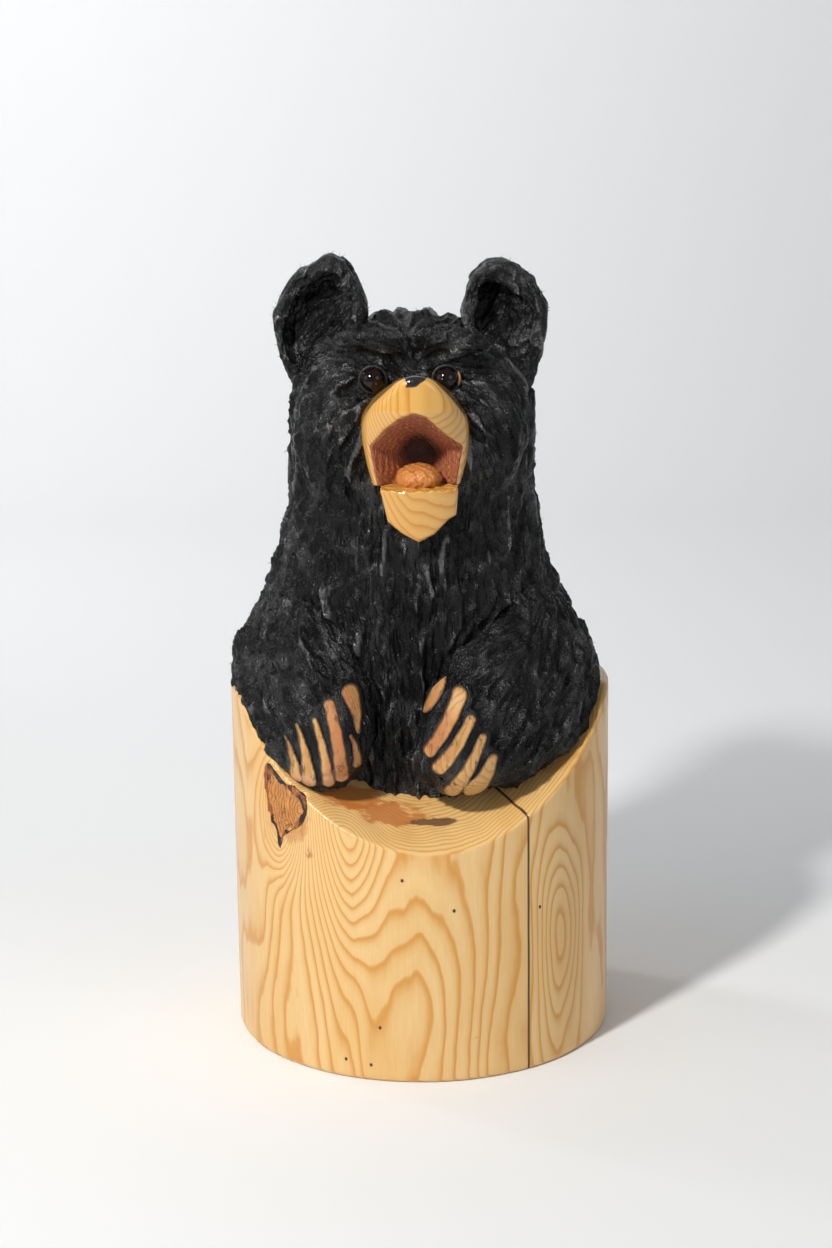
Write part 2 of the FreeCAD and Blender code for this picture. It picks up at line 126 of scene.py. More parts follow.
class BearColours(bpy.types.PropertyGroup):
    """The finishes' colours."""

    pine: colour("Pine", "Pale early wood", (0.800, 0.540, 0.235))
    pine_ring: colour("Pine ring", "Darker late wood", (0.630, 0.275, 0.036))
    stain: colour("Black stain", "Stain on the fur", (0.0038, 0.0038, 0.0040))
    mouth: colour("Mouth stain", "Red-brown stain in the mouth", (0.215, 0.062, 0.026))
    glass: colour("Eye glass", "Dark brown glass eye", (0.004, 0.0022, 0.0018))


# Solid forms as distance fields, in millimetres: below zero is inside


class Grid:
    """The points of a regular box of samples."""

    def __init__(self, lo, hi, step):
        self.step = step
        self.lo = np.asarray(lo, float) - 2 * step
        counts = np.ceil((np.asarray(hi, float) + 2 * step - self.lo) / step).astype(int) + 1
        lines = [self.lo[i] + step * np.arange(counts[i]) for i in range(3)]
        self.points = [
            line.astype(np.float32).reshape([-1 if i == j else 1 for j in range(3)])
            for i, line in enumerate(lines)
        ]
        self.counts = counts


def smooth_union(a, b, blend):
    share = np.clip(0.5 + 0.5 * (b - a) / blend, 0, 1)
    return b + (a - b) * share - blend * share * (1 - share)


def smooth_common(a, b, blend):
    return -smooth_union(-a, -b, blend)


def smooth_cut(a, b, blend):
    return smooth_common(a, -b, blend)


def ellipsoid(p, centre, radii, turn=None):
    x, y, z = (p[i] - np.float32(centre[i]) for i in range(3))
    if turn is not None:
        m = np.array(turn.inverted().to_matrix(), np.float32)
        x, y, z = (m[i, 0] * x + m[i, 1] * y + m[i, 2] * z for i in range(3))
    near_unit = np.sqrt((x / radii[0]) ** 2 + (y / radii[1]) ** 2 + (z / radii[2]) ** 2)
    slope = np.sqrt((x / radii[0] ** 2) ** 2 + (y / radii[1] ** 2) ** 2 + (z / radii[2] ** 2) ** 2)
    return near_unit * (near_unit - 1) / np.maximum(slope, 1e-6)


def limb(p, path, blend):
    """A tube through points with a radius at each, as rows of x, y, z, radius."""
    whole = None
    for (*a, ra), (*b, rb) in zip(path[:-1], path[1:]):
        a, b = np.array(a, np.float32), np.array(b, np.float32)
        run = b - a
        along = sum((p[i] - a[i]) * run[i] for i in range(3)) / float(run @ run)
        along = np.clip(along, 0, 1)
        gap = np.sqrt(sum((p[i] - a[i] - along * run[i]) ** 2 for i in range(3)))
        part = gap - (ra + along * (rb - ra))
        whole = part if whole is None else smooth_union(whole, part, blend)
    return whole


def upright_loft(p, rows, ease):
    """A form through level ovals, as rows of height, centre x, centre y, half width, half depth."""
    rows = np.array(rows, float)
    heights = np.linspace(rows[0, 0], rows[-1, 0], 240)
    kernel = np.hanning(ease + 2)[1:-1]
    kernel /= kernel.sum()
    z = p[2].ravel()
    values = []
    for column in range(1, 5):
        line = np.interp(heights, rows[:, 0], rows[:, column])
        padded = np.pad(line, ease // 2, mode="reflect", reflect_type="odd")
        line = np.convolve(padded, kernel, mode="same")[ease // 2: ease // 2 + len(heights)]
        values.append(np.interp(z, heights, line).astype(np.float32).reshape(p[2].shape))
    cx, cy, a, b = values
    unit = np.sqrt(((p[0] - cx) / a) ** 2 + ((p[1] - cy) / b) ** 2)
    sides = (unit - 1) * np.minimum(a, b)
    return np.maximum(sides, np.maximum(rows[0, 0] - p[2], p[2] - rows[-1, 0]))


def outline_field(points, steps=8):
    """A function of two flat coordinates that gives the distance from a smooth closed outline."""
    points = np.array(points, float)
    count = len(points)
    curve = []
    for i in range(count):
        a, b, c, d = (points[(i + k) % count] for k in (-1, 0, 1, 2))
        for t in np.arange(steps) / steps:
            square, cube = (2 * a - 5 * b + 4 * c - d) * t**2, (3 * b - a - 3 * c + d) * t**3
            curve.append(0.5 * (2 * b + (c - a) * t + square + cube))
    return polygon_field(curve)


def polygon_field(corners):
    corners = np.array(corners, np.float32)

    def field(u, v):
        best = np.full(np.broadcast(u, v).shape, 1e9, np.float32)
        inside = np.zeros(best.shape, bool)
        for a, b in zip(corners, np.roll(corners, -1, 0)):
            run = b - a
            along = np.clip(((u - a[0]) * run[0] + (v - a[1]) * run[1]) / float(run @ run + 1e-9), 0, 1)
            best = np.minimum(best, (u - a[0] - along * run[0]) ** 2 + (v - a[1] - along * run[1]) ** 2)
            crosses = (a[1] > v) != (b[1] > v)
            rise = run[1] if abs(run[1]) > 1e-9 else 1e-9
            inside ^= crosses & (u < (v - a[1]) * run[0] / rise + a[0])
        return np.where(inside, -np.sqrt(best), np.sqrt(best))

    return field


def log_side(p):
    return np.sqrt(p[0] ** 2 + p[1] ** 2) - np.float32(LOG_RADIUS)


def ledge_height(x, y):
    """Height of the log's top: the dished front ledge, up to the level back."""
    rim_low = low("knot_bark")[2] + 8.2
    front = rim_low + 0.46 * (y + LOG_RADIUS - 1) + 0.003 * (x - 8) ** 2
    return np.minimum(front, LOG_TOP)


# From fields to meshes


def skin(grid, field):
    """The zero surface of a field, as points in millimetres and quads."""
    values = np.broadcast_to(field, grid.counts).astype(np.float32)
    volume = openvdb.FloatGrid(float(values.max()))
    volume.copyFromArray(np.ascontiguousarray(np.clip(values, -20, 20)))
    points, quads = volume.convertToQuads(0.0)
    return points * grid.step + grid.lo, quads.astype(np.int32)


def normals_of(points, quads):
    corners = points[quads]
    facing = np.cross(corners[:, 2] - corners[:, 0], corners[:, 3] - corners[:, 1])
    normals = np.zeros_like(points)
    for k in range(4):
        for axis in range(3):
            normals[:, axis] += np.bincount(quads[:, k], facing[:, axis], len(points))
    return normals / np.maximum(np.linalg.norm(normals, axis=1, keepdims=True), 1e-9)


def refined(points, quads):
    """Halves every quad's edges and smooths the result."""
    mesh = mesh_from("rough", points, quads)
    thing = bpy.data.objects.new("rough", mesh)
    bpy.context.scene.collection.objects.link(thing)
    thing.modifiers.new("halve", "SUBSURF").levels = 1
    graph = bpy.context.evaluated_depsgraph_get()
    fine = thing.evaluated_get(graph).to_mesh()
    points = np.empty(len(fine.vertices) * 3, np.float32)
    fine.vertices.foreach_get("co", points)
    quads = np.empty(len(fine.loops), np.int32)
    fine.loops.foreach_get("vertex_index", quads)
    bpy.data.objects.remove(thing)
    bpy.data.meshes.remove(mesh)
    return points.reshape(-1, 3).astype(float) / MM, quads.reshape(-1, 4)


def joined(parts):
    """Several pairs of points and same-sided faces as one pair."""
    start, points, faces = 0, [], []
    for these_points, these_faces in parts:
        points.append(these_points)
        faces.append(these_faces + start)
        start += len(these_points)
    return np.concatenate(points), np.concatenate(faces)


def mesh_from(name, points, faces):
    mesh = bpy.data.meshes.new(name)
    mesh.from_pydata([], [], [])
    mesh.vertices.add(len(points))
    mesh.vertices.foreach_set("co", (np.asarray(points, float) * MM).astype(np.float32).ravel())
    sides = faces.shape[1]
    mesh.loops.add(faces.size)
    mesh.loops.foreach_set("vertex_index", faces.ravel().astype(np.int32))
    mesh.polygons.add(len(faces))
    mesh.polygons.foreach_set("loop_start", np.arange(0, faces.size, sides, dtype=np.int32))
    mesh.update(calc_edges=True)
    mesh.validate()
    mesh.shade_smooth()
    return mesh


def piece(name, mesh, slot, *nodes):
    """Makes an object in a slot's finish that rides on the log and stands for those nodes."""
    thing = bpy.data.objects.new(name, mesh)
    bpy.context.scene.collection.objects.link(thing)
    mesh.materials.clear()
    mesh.materials.append(finish(slot))
    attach(thing, "root")
    if nodes:
        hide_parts(*nodes)
    return thing


def attribute(mesh, name, values):
    layer = mesh.attributes.new(name, "FLOAT", "POINT")
    layer.data.foreach_set("value", np.asarray(values, np.float32))


def sculpted(name, grid, field, slot, node):
    """The zero surface of a field, as a piece that stands for one node."""
    return piece(name, mesh_from(name, *skin(grid, field)), slot, node)


# The gouge


class Lookup:
    """Finds the points near a place, by sorting them into cubes."""

    def __init__(self, points, reach):
        self.points, self.reach = points, reach
        cells = np.floor(points / reach).astype(np.int64)
        self.base = cells.min(0) - 1
        self.span = cells.max(0) - self.base + 2
        keys = self.key(cells)
        self.order = np.argsort(keys, kind="stable")
        self.sorted_keys = keys[self.order]

    def key(self, cells):
        c = cells - self.base
        return (c[..., 0] * self.span[1] + c[..., 1]) * self.span[2] + c[..., 2]

    def around(self, place):
        cell = np.floor(place / self.reach).astype(np.int64)
        found = []
        for dx in (-1, 0, 1):
            for dy in (-1, 0, 1):
                row = self.key(cell + np.array((dx, dy, -1)))
                start, stop = np.searchsorted(self.sorted_keys, (row, row + 3))
                found.append(self.order[start:stop])
        return np.concatenate(found)


def scattered(points, gap, random):
    """Indices of points, about one in each cube of that size."""
    shuffled = random.permutation(len(points))
    cells = np.floor(points[shuffled] / gap).astype(np.int64)
    _, first = np.unique(cells, axis=0, return_index=True)
    return shuffled[first]


def combed(places, combs):
    """Direction, length, half width and depth of the fur at places, blended from the combs round them."""
    where = np.array([c[0] for c in combs])
    way = np.array([c[1] for c in combs], float)
    way /= np.linalg.norm(way, axis=1, keepdims=True)
    cut = np.array([c[2] for c in combs], float)
    gap = ((places[:, None, :] - where[None]) ** 2).sum(-1)
    weight = 1 / (gap + 30) ** 2
    weight /= weight.sum(1, keepdims=True)
    return weight @ way, weight @ cut


def gouged(points, normals, combs, gap, seed, depth_share=1.0, size_share=1.0):
    """How deep the gouge has cut at each point, and how near the middle of its cut the point lies."""
    random = np.random.default_rng(seed)
    sizes = bpy.context.scene.bear_sizes
    deep, wide = sizes.gouge_depth / MM * depth_share, sizes.gouge_width / MM * size_share
    starts = scattered(points, gap, random)
    way, cut = combed(points[starts], combs)
    lookup = Lookup(points, 20.0 if size_share > 0.8 else 9.0)
    depth = np.zeros(len(points), np.float32)
    share = np.zeros(len(points), np.float32)
    for row, i in enumerate(starts):
        normal = normals[i]
        along = way[row] - (way[row] @ normal) * normal
        size = np.linalg.norm(along)
        if size < 1e-3:
            continue
        along /= size
        across = np.cross(normal, along)
        swing = random.normal(0, 0.14)
        along, across = (
            along * math.cos(swing) + across * math.sin(swing),
            across * math.cos(swing) - along * math.sin(swing),
        )
        length = cut[row, 0] * size_share * random.uniform(1.1, 1.9)
        half = cut[row, 1] * wide * random.uniform(0.75, 1.3)
        full = cut[row, 2] * deep * random.uniform(0.55, 1.3)
        bend = random.normal(0, 0.005) / size_share
        near_by = lookup.around(points[i])
        offset = points[near_by] - points[i]
        run = offset @ along
        v = (offset @ across - bend * run * run) / half
        s = run / length + 0.5
        rise = np.where(s < 0.68, s / 0.68, (1 - s) / 0.32)
        profile = np.where((s > 0) & (s < 1), 1 - (1 - np.clip(rise, 0, 1)) ** 2, -1)
        here = profile - v * v
        here[normals[near_by] @ normal < 0.35] = 0
        deeper = full * here > depth[near_by]
        hit = near_by[deeper]
        depth[hit] = full * here[deeper]
        share[hit] = here[deeper]
    return depth, share


# Node helpers


class Wire:
    """A socket that arithmetic can be done with."""

    def __init__(self, tree, socket):
        self.tree, self.socket = tree, socket

    def math(self, operation, *others, clamp=False):
        node = self.tree.nodes.new("ShaderNodeMath")
        node.operation, node.use_clamp = operation, clamp
        for slot, value in zip(node.inputs, (self, *others)):
            if isinstance(value, Wire):
                self.tree.links.new(value.socket, slot)
            else:
                slot.default_value = value
        return Wire(self.tree, node.outputs[0])

    def __add__(self, other):
        return self.math("ADD", other)

    def __sub__(self, other):
        return self.math("SUBTRACT", other)

    def __mul__(self, other):
        return self.math("MULTIPLY", other)

    def __truediv__(self, other):
        return self.math("DIVIDE", other)

    def above(self, low_edge, high_edge):
        """0 below the first value, 1 above the second, smooth between."""
        node = self.tree.nodes.new("ShaderNodeMapRange")
        node.interpolation_type = "SMOOTHSTEP"
        self.tree.links.new(self.socket, node.inputs["Value"])
        node.inputs["From Min"].default_value = low_edge
        node.inputs["From Max"].default_value = high_edge
        return Wire(self.tree, node.outputs["Result"])


class Finish:
    """A material under construction: a Principled shader and the wires that lead to it."""

    def __init__(self, name):
        self.material = bpy.data.materials.new(f"finish_{name}")
        self.material.use_nodes = True
        self.tree = self.material.node_tree
        self.shader = self.tree.nodes["Principled BSDF"]
        place = self.tree.nodes.new("ShaderNodeTexCoord")
        scale = self.tree.nodes.new("ShaderNodeVectorMath")
        scale.operation = "SCALE"
        scale.inputs["Scale"].default_value = 1 / MM
        self.tree.links.new(place.outputs["Object"], scale.inputs[0])
        self.place = scale.outputs[0]
        split = self.tree.nodes.new("ShaderNodeSeparateXYZ")
        self.tree.links.new(self.place, split.inputs[0])
        self.x, self.y, self.z = (Wire(self.tree, split.outputs[i]) for i in range(3))

    def set(self, **values):
        for name, value in values.items():
            self.shader.inputs[name.replace("_", " ")].default_value = value

    def link(self, wire, name):
        self.tree.links.new(wire.socket, self.shader.inputs[name])

    def noise(self, size, stretch=(1, 1, 1), detail=2.0, rough=0.5, offset=(0, 0, 0), warp=0.0):
        """Noise from 0 to 1 whose grain is size millimetres, times stretch along each axis."""
        shift = self.tree.nodes.new("ShaderNodeMapping")
        shift.inputs["Location"].default_value = offset
        shift.inputs["Scale"].default_value = [1 / (size * s) for s in stretch]
        self.tree.links.new(self.place, shift.inputs["Vector"])
        node = self.tree.nodes.new("ShaderNodeTexNoise")
        node.inputs["Scale"].default_value = 1.0
        node.inputs["Detail"].default_value = detail
        node.inputs["Roughness"].default_value = rough
        node.inputs["Distortion"].default_value = warp
        self.tree.links.new(shift.outputs[0], node.inputs["Vector"])
        return Wire(self.tree, node.outputs["Fac"])

    def layer(self, name):
        node = self.tree.nodes.new("ShaderNodeAttribute")
        node.attribute_name = name
        return Wire(self.tree, node.outputs["Fac"])

    def near_point(self, centre, radii):
        """1 at centre, falling smoothly to 0: a bell over each radius."""
        parts = [
            ((axis - float(c)) * (1 / r)).math("POWER", 2.0)
            for axis, c, r in zip((self.x, self.y, self.z), centre, radii)
            if r
        ]
        total = parts[0]
        for part in parts[1:]:
            total = total + part
        return (total * -1.0).math("EXPONENT")

    def mix(self, share, first, second):
        """A colour between two, which are colours or wires of colours."""
        node = self.tree.nodes.new("ShaderNodeMix")
        node.data_type = "RGBA"
        if isinstance(share, Wire):
            self.tree.links.new(share.socket, node.inputs["Factor"])
        else:
            node.inputs["Factor"].default_value = share
        for slot, value in (("A", first), ("B", second)):
            socket = next(s for s in node.inputs if s.name == slot and s.type == "RGBA")
            if isinstance(value, Wire):
                self.tree.links.new(value.socket, socket)
            else:
                socket.default_value = (*value[:3], 1.0)
        return Wire(self.tree, next(s for s in node.outputs if s.type == "RGBA"))

    def ramp(self, wire, stops):
        node = self.tree.nodes.new("ShaderNodeValToRGB")
        node.color_ramp.interpolation = "LINEAR"
        elements = node.color_ramp.elements
        while len(elements) < len(stops):
            elements.new(0.5)
        for element, (position, value) in zip(elements, stops):
            element.position = position
            element.color = (value, value, value, 1.0)
        self.tree.links.new(wire.socket, node.inputs["Fac"])
        return Wire(self.tree, node.outputs["Color"])

    def bump(self, *layers):
        """Bumps from pairs of a height from 0 to 1 and its depth in millimetres."""
        previous = None
        for height, depth in layers:
            node = self.tree.nodes.new("ShaderNodeBump")
            node.inputs["Strength"].default_value = 1.0
            node.inputs["Distance"].default_value = depth * MM
            self.tree.links.new(height.socket, node.inputs["Height"])
            if previous:
                self.tree.links.new(previous, node.inputs["Normal"])
            previous = node.outputs["Normal"]
        self.tree.links.new(previous, self.shader.inputs["Normal"])


def distance_from_pith(finish, pith):
    """How far a point is from the log's crooked pith, in millimetres."""
    sway = (finish.noise(90, (1, 1, 1), 0.0, offset=(3, 1, 7)) - 0.5) * 10.0
    dx = finish.x - pith[0] + sway
    dy = finish.y - pith[1]
    return (dx.math("POWER", 2.0) + dy.math("POWER", 2.0)).math("SQRT")


def growth_rings(finish, radius, pitch):
    """From 0, the first wood of a year, to 1, its last and darkest."""
    phase = (radius / pitch).math("FRACT")
    darkness = ((0.0, 0.10), (0.35, 0.0), (0.62, 0.25), (0.86, 1.0), (0.93, 0.85), (1.0, 0.10))
    return finish.ramp(phase, darkness)


def scaled(tone, *factors):
    """A colour times one factor, or times one for each channel."""
    return tuple(c * k for c, k in zip(tone, factors if len(factors) > 1 else factors * 3))


# Finishes


def pine(name, gloss, coat, scale=1.0, tint=(1.0, 1.0, 1.0), marked=False, spots=()):
    """Pine under varnish. Spots are burnt or resin-soaked places: centre, radii, strength, colour."""
    colours, sizes = bpy.context.scene.bear_colours, bpy.context.scene.bear_sizes
    f = Finish(name)
    radius = distance_from_pith(f, (-22.0, 4.0))
    wobble = (f.noise(46, (1, 1, 7), 1.0, offset=(11, 4, 2)) - 0.5) * 13.0
    wobble = wobble + (f.noise(17, (1, 1, 6), 1.0, offset=(2, 9, 5)) - 0.5) * 3.0
    wobble = wobble + (f.noise(6, (1, 1, 3), 1.0, offset=(1, 3, 5)) - 0.5) * 0.7
    figures = (
        (near("branch_knot", -10, -4, -2), (15, 15, 32), -26.0),
        (near("branch_knot", 26, -30, 16), (21, 60, 74), 27.0),
        ((79.0, -78.0, 76.0), (12, 40, 46), 12.0),
        ((-2.0, -111.0, 40.0), (17, 40, 60), -5.0),
        ((-110.0, 30.0, 110.0), (60, 26, 60), 11.0),
        ((30.0, 108.0, 90.0), (26, 60, 60), 15.0),
        ((100.0, 60.0, 130.0), (60, 22, 50), -12.0),
    )
    for centre, radii, height in figures:
        wobble = wobble + f.near_point(centre, radii) * height
    rings = growth_rings(f, radius + wobble, sizes.ring_pitch / MM * scale)
    fibre = f.noise(0.55, (1, 1, 26), 3.0, 0.6)
    patches = f.noise(38, (1, 1, 2.6), 2.0, offset=(5, 5, 5))
    early = scaled(colours.pine, *tint)
    late = scaled(colours.pine_ring, *tint)
    pale = f.mix(patches.above(0.35, 0.7), early, scaled(early, 0.96, 0.88, 0.74))
    wood = f.mix(rings * 0.90, pale, late)
    wood = f.mix((fibre - 0.5) * 0.35 + 0.06, wood, scaled(colours.pine_ring, 0.6))
    for centre, radii, strength, burn in spots:
        ragged = (f.noise(11, (1.6, 0.7, 2), 4.0, 0.65) - 0.5) * 1.8 + f.near_point(centre, radii)
        wood = f.mix(ragged.above(0.36, 0.62) * strength, wood, burn)
    if marked:
        # Painted shade: the colour darkens in a narrow band along the drying split, as shade inside the
        # crack.
        aside = f.x * math.cos(SPLIT_ANGLE) + f.y * math.sin(SPLIT_ANGLE)
        aside = aside + (f.noise(14, (1, 1, 2), 2.0) - 0.5) * 0.5
        split = (aside.math("ABSOLUTE") * -1.0).above(-1.0, -0.45) * (f.y * -1.0).above(20, 30)
        wood = f.mix(split * 0.93, wood, (0.075, 0.026, 0.010))
        # Painted shade: each hole is only a dark spot in the colour, with no hollow in the mesh.
        for turn, height in HOLES:
            turn = math.radians(turn)
            place = (LOG_RADIUS * math.sin(turn), -LOG_RADIUS * math.cos(turn), height)
            hole = f.near_point(place, (1.0, 1.0, 1.2))
            wood = f.mix(hole.above(0.25, 0.6), wood, (0.05, 0.018, 0.008))
    f.link(wood, "Base Color")
    f.link((rings * 0.05 + (fibre - 0.5) * 0.12) + gloss, "Roughness")
    f.set(Specular_IOR_Level=0.5, Coat_Weight=coat, Coat_Roughness=0.12)
    f.bump((fibre, 0.05), (rings, 0.05))
    return f.material


def black_fur():
    """Stained, gouged wood: nearly black, with grey glints painted into its colour at ridges and torn fibres,
    which also shine more there.
    """
    colours = bpy.context.scene.bear_colours
    f = Finish("black_stain")
    fibre = f.noise(0.8, (1, 1, 9), 4.0, 0.65)
    coarse = f.noise(2.4, (1, 1, 6), 3.0, 0.6, offset=(7, 2, 1))
    patches = f.noise(15, (1, 1, 1.5), 3.0, 0.6, offset=(4, 8, 6))
    pits = f.noise(1.9, (1, 1, 1.8), 4.0, 0.7, offset=(9, 9, 1))
    ridge = f.layer("ridge").above(0.6, 1.0)
    # Painted highlight: the colour turns from black to grey where ridges and fibres would catch the light;
    # the same mask also raises the specular.
    glint = (ridge * 0.85 + coarse * 0.95 + fibre * 0.5 + patches * 0.6).above(1.25, 2.0)
    tone = f.mix(glint, colours.stain, scaled(colours.stain, 8))
    f.link(tone, "Base Color")
    f.link(pits * 0.26 + 0.13, "Roughness")
    f.link((glint * 1.0 + 0.24) + patches.above(0.45, 0.70) * 0.55, "Specular IOR Level")
    f.bump((coarse, 1.0), (fibre, 0.5), (pits, 0.6))
    return f.material


def glass():
    f = Finish("eye_glass")
    glow = f.noise(9, (1, 1, 1), 2.0)
    brown = bpy.context.scene.bear_colours.glass
    f.link(f.mix(glow.above(0.45, 0.8), brown, (0.016, 0.006, 0.003)), "Base Color")
    f.link(f.noise(2.0) * 0.02 + 0.03, "Roughness")
    f.set(Specular_IOR_Level=0.35)
    return f.material


def eye_putty():
    """Black filler, rubbed through to bare wood at the left eye's outer edge."""
    f = Finish("eye_putty")
    colours = bpy.context.scene.bear_colours
    grain = f.noise(1.0, (1, 1, 1), 3.0)
    bare = f.near_point(near("left_eye", 8.3, -1, 0.5), (2.2, 30, 6.0))
    rubbed = (bare + (grain - 0.5) * 0.3).above(0.35, 0.5)
    f.link(f.mix(rubbed, colours.stain, (0.50, 0.24, 0.09)), "Base Color")
    f.link(grain * 0.25 + 0.35, "Roughness")
    f.bump((grain, 0.35))
    return f.material


def plain_metal(name):
    f = Finish(name)
    grain = f.noise(0.7, (1, 1, 8), 2.0)
    f.link(f.mix(grain, (0.42, 0.42, 0.43), (0.55, 0.55, 0.56)), "Base Color")
    f.link(grain * 0.2 + 0.25, "Roughness")
    f.set(Metallic=1.0)
    f.bump((grain, 0.1))
    return f.material


def nose_stain():
    f = Finish("nose_stain")
    grain = f.noise(1.3, (1, 1, 2), 3.0)
    f.link(f.mix(grain.above(0.62, 0.85), (0.012, 0.009, 0.008), (0.10, 0.040, 0.018)), "Base Color")
    f.link(grain * 0.1 + 0.12, "Roughness")
    f.set(Coat_Weight=0.8, Coat_Roughness=0.08)
    f.bump((grain, 0.12))
    return f.material


def mouth_stain():
    """Red-brown stain over rough fibres that run in arcs round the throat, with painted shade deep in it."""
    f = Finish("stained_mouth")
    colours = bpy.context.scene.bear_colours
    cx, _, cz = middle("upper_muzzle")
    dx, dz = f.x - cx, f.z - (cz - 14.0)
    reach = (dx.math("POWER", 2.0) + dz.math("POWER", 2.0)).math("SQRT")
    wobble = (f.noise(5, (1, 1, 1), 3.0) - 0.5) * 5.0
    arcs = growth_rings(f, reach + wobble, 1.5)
    fibre = f.noise(0.9, (2.5, 2.5, 1), 4.0, 0.7)
    dark = scaled(colours.mouth, 0.42)
    light = tuple(min(1, c * 2.2) for c in colours.mouth)
    tone = f.mix(arcs * 0.7, light, dark)
    tone = f.mix(fibre.above(0.35, 0.75), tone, colours.mouth)
    # Painted shade: the colour darkens to near black deep in the throat, at the back of the mouth.
    deep = f.near_point(near("mouth_lining", 2, 16, -6), (13, 26, 12))
    tone = f.mix(deep.above(0.15, 0.75) * 0.92, tone, (0.030, 0.009, 0.005))
    low_rim = (f.z * -1.0 + (cz - 15.0) + wobble).above(0, 9) * 0.55
    tone = f.mix(low_rim, tone, (0.34, 0.11, 0.04))
    f.link(tone, "Base Color")
    f.link(fibre * 0.25 + 0.45, "Roughness")
    f.bump((fibre, 0.5), (arcs, 0.25))
    return f.material


def orange_wood(name, tone, shade, spots, gloss, coat):
    """Bare, rough-sawn wood with burnt specks."""
    f = Finish(name)
    radius = distance_from_pith(f, (-6.0, -40.0))
    rings = growth_rings(f, radius + (f.noise(7, (1, 1, 2), 2.0) - 0.5) * 5.0, 1.6)
    fibre = f.noise(0.5, (1, 1, 10), 3.0, 0.6)
    patch = f.noise(5, (1, 1, 1.6), 3.0, 0.6, offset=(3, 3, 3))
    wood = f.mix(rings * 0.7, tone, shade)
    wood = f.mix(patch.above(0.45, 0.75) * 0.6, wood, shade)
    specks = f.noise(1.5, (1, 1, 1.3), 3.0, 0.7, offset=(9, 1, 4))
    wood = f.mix(specks.above(0.62, 0.72) * spots, wood, (0.05, 0.014, 0.005))
    f.link(wood, "Base Color")
    f.link(fibre * 0.2 + gloss, "Roughness")
    f.set(Coat_Weight=coat, Coat_Roughness=0.1)
    f.bump((fibre, 0.2), (rings, 0.1), (specks, 0.25))
    return f.material


def claw_wood():
    """Yellow wood at the outer claws, burnt orange towards the middle and along the bottoms."""
    f = Finish("bare_claw_wood")
    colours = bpy.context.scene.bear_colours
    radius = distance_from_pith(f, (-22.0, 4.0))
    rings = growth_rings(f, radius + (f.noise(20, (1, 1, 3), 2.0) - 0.5) * 9.0, 1.7)
    fibre = f.noise(0.5, (1, 1, 12), 3.0, 0.6)
    wood = f.mix(rings * 0.75, scaled(colours.pine, 0.74, 0.62, 0.52), scaled(colours.pine_ring, 0.7))
    burnt = f.near_point(near("right_claws", 9, 0, 4), (13, 60, 60))
    burnt = burnt + f.near_point(near("left_claws", -13, 0, 12), (12, 60, 26))
    burnt = burnt + (f.noise(5, (1, 1, 3), 3.0) - 0.5) * 0.9
    wood = f.mix(burnt.above(0.28, 0.95) * 0.85, wood, (0.46, 0.165, 0.055))
    raw = f.near_point(near("right_claws", -2, 0, -18), (24, 60, 4.5))
    raw = raw + (f.noise(2, (1, 1, 1), 3.0) - 0.5) * 0.9
    wood = f.mix(raw.above(0.35, 0.7) * 0.8, wood, (0.62, 0.32, 0.17))
    soot = f.noise(3.2, (1, 1, 2.5), 4.0, 0.7, offset=(2, 6, 1))
    wood = f.mix(soot.above(0.54, 0.70) * 0.8, wood, (0.05, 0.028, 0.016))
    burn = f.layer("burn") + (f.noise(1.6, (1, 1, 2), 3.0) - 0.5) * 0.9
    wood = f.mix(burn.above(0.35, 1.1) * 0.9, wood, (0.045, 0.022, 0.012))
    f.link(wood, "Base Color")
    f.link(fibre * 0.15 + 0.36, "Roughness")
    f.bump((fibre, 0.25), (rings, 0.12), (soot, 0.3))
    return f.material


def knot_wood():
    f = Finish("knot_wood")
    cx, _, cz = middle("branch_knot")
    dx = (f.x - cx) * 1.5
    dz = (f.z - (cz + 2)) * 0.7
    reach = (dx.math("POWER", 2.0) + dz.math("POWER", 2.0)).math("SQRT")
    rings = growth_rings(f, reach + (f.noise(6, (1, 1, 1), 3.0) - 0.5) * 6.0, 2.3)
    patch = f.noise(5.5, (1, 1, 1.8), 4.0, 0.65)
    wood = f.mix(rings * 0.8, (0.60, 0.24, 0.045), (0.24, 0.062, 0.010))
    wood = f.mix(patch.above(0.5, 0.72), wood, (0.74, 0.36, 0.075))
    cracks = f.noise(3.6, (1, 1, 1.6), 4.0, 0.7, offset=(3, 3, 8), warp=1.2)
    wood = f.mix(cracks.above(0.56, 0.62) * 0.9, wood, (0.03, 0.010, 0.006))
    f.link(wood, "Base Color")
    f.link(patch * 0.2 + 0.30, "Roughness")
    f.set(Coat_Weight=0.3, Coat_Roughness=0.15)
    f.bump((cracks, 0.6), (rings, 0.3))
    return f.material


def bark_wood():
    f = Finish("bark")
    patch = f.noise(3.4, (1, 1, 2.4), 4.0, 0.7, offset=(1, 8, 2))
    black = f.noise(7.0, (1, 1, 3.0), 3.0, 0.6, offset=(6, 2, 2))
    wood = f.mix(patch.above(0.35, 0.7), (0.25, 0.060, 0.014), (0.45, 0.16, 0.035))
    wood = f.mix(black.above(0.44, 0.54), wood, (0.018, 0.009, 0.007))
    f.link(wood, "Base Color")
    f.link(patch * 0.3 + 0.35, "Roughness")
    f.bump((patch, 0.7), (black, 0.4))
    return f.material


def log_pine():
    return pine("log_pine", 0.34, 0.20, marked=True, spots=(
        (near("branch_knot", -6, 0, -2), (14, 20, 26), 0.65, (0.50, 0.20, 0.045)),
        (near("branch_knot", 3, 0, -24), (5, 20, 9), 0.95, (0.33, 0.085, 0.018)),
        ((-42.0, -75.0, 155.0), (27, 11, 14), 0.8, (0.54, 0.17, 0.030)),
        ((-18.0, -83.0, 149.0), (25, 11, 14), 0.8, (0.50, 0.15, 0.030)),
        ((4.0, -88.0, 146.0), (15, 3.5, 14), 0.85, (0.10, 0.045, 0.026)),
        ((70.0, -62.0, 180.0), (22, 16, 14), 0.45, (0.55, 0.25, 0.07)),
    ))


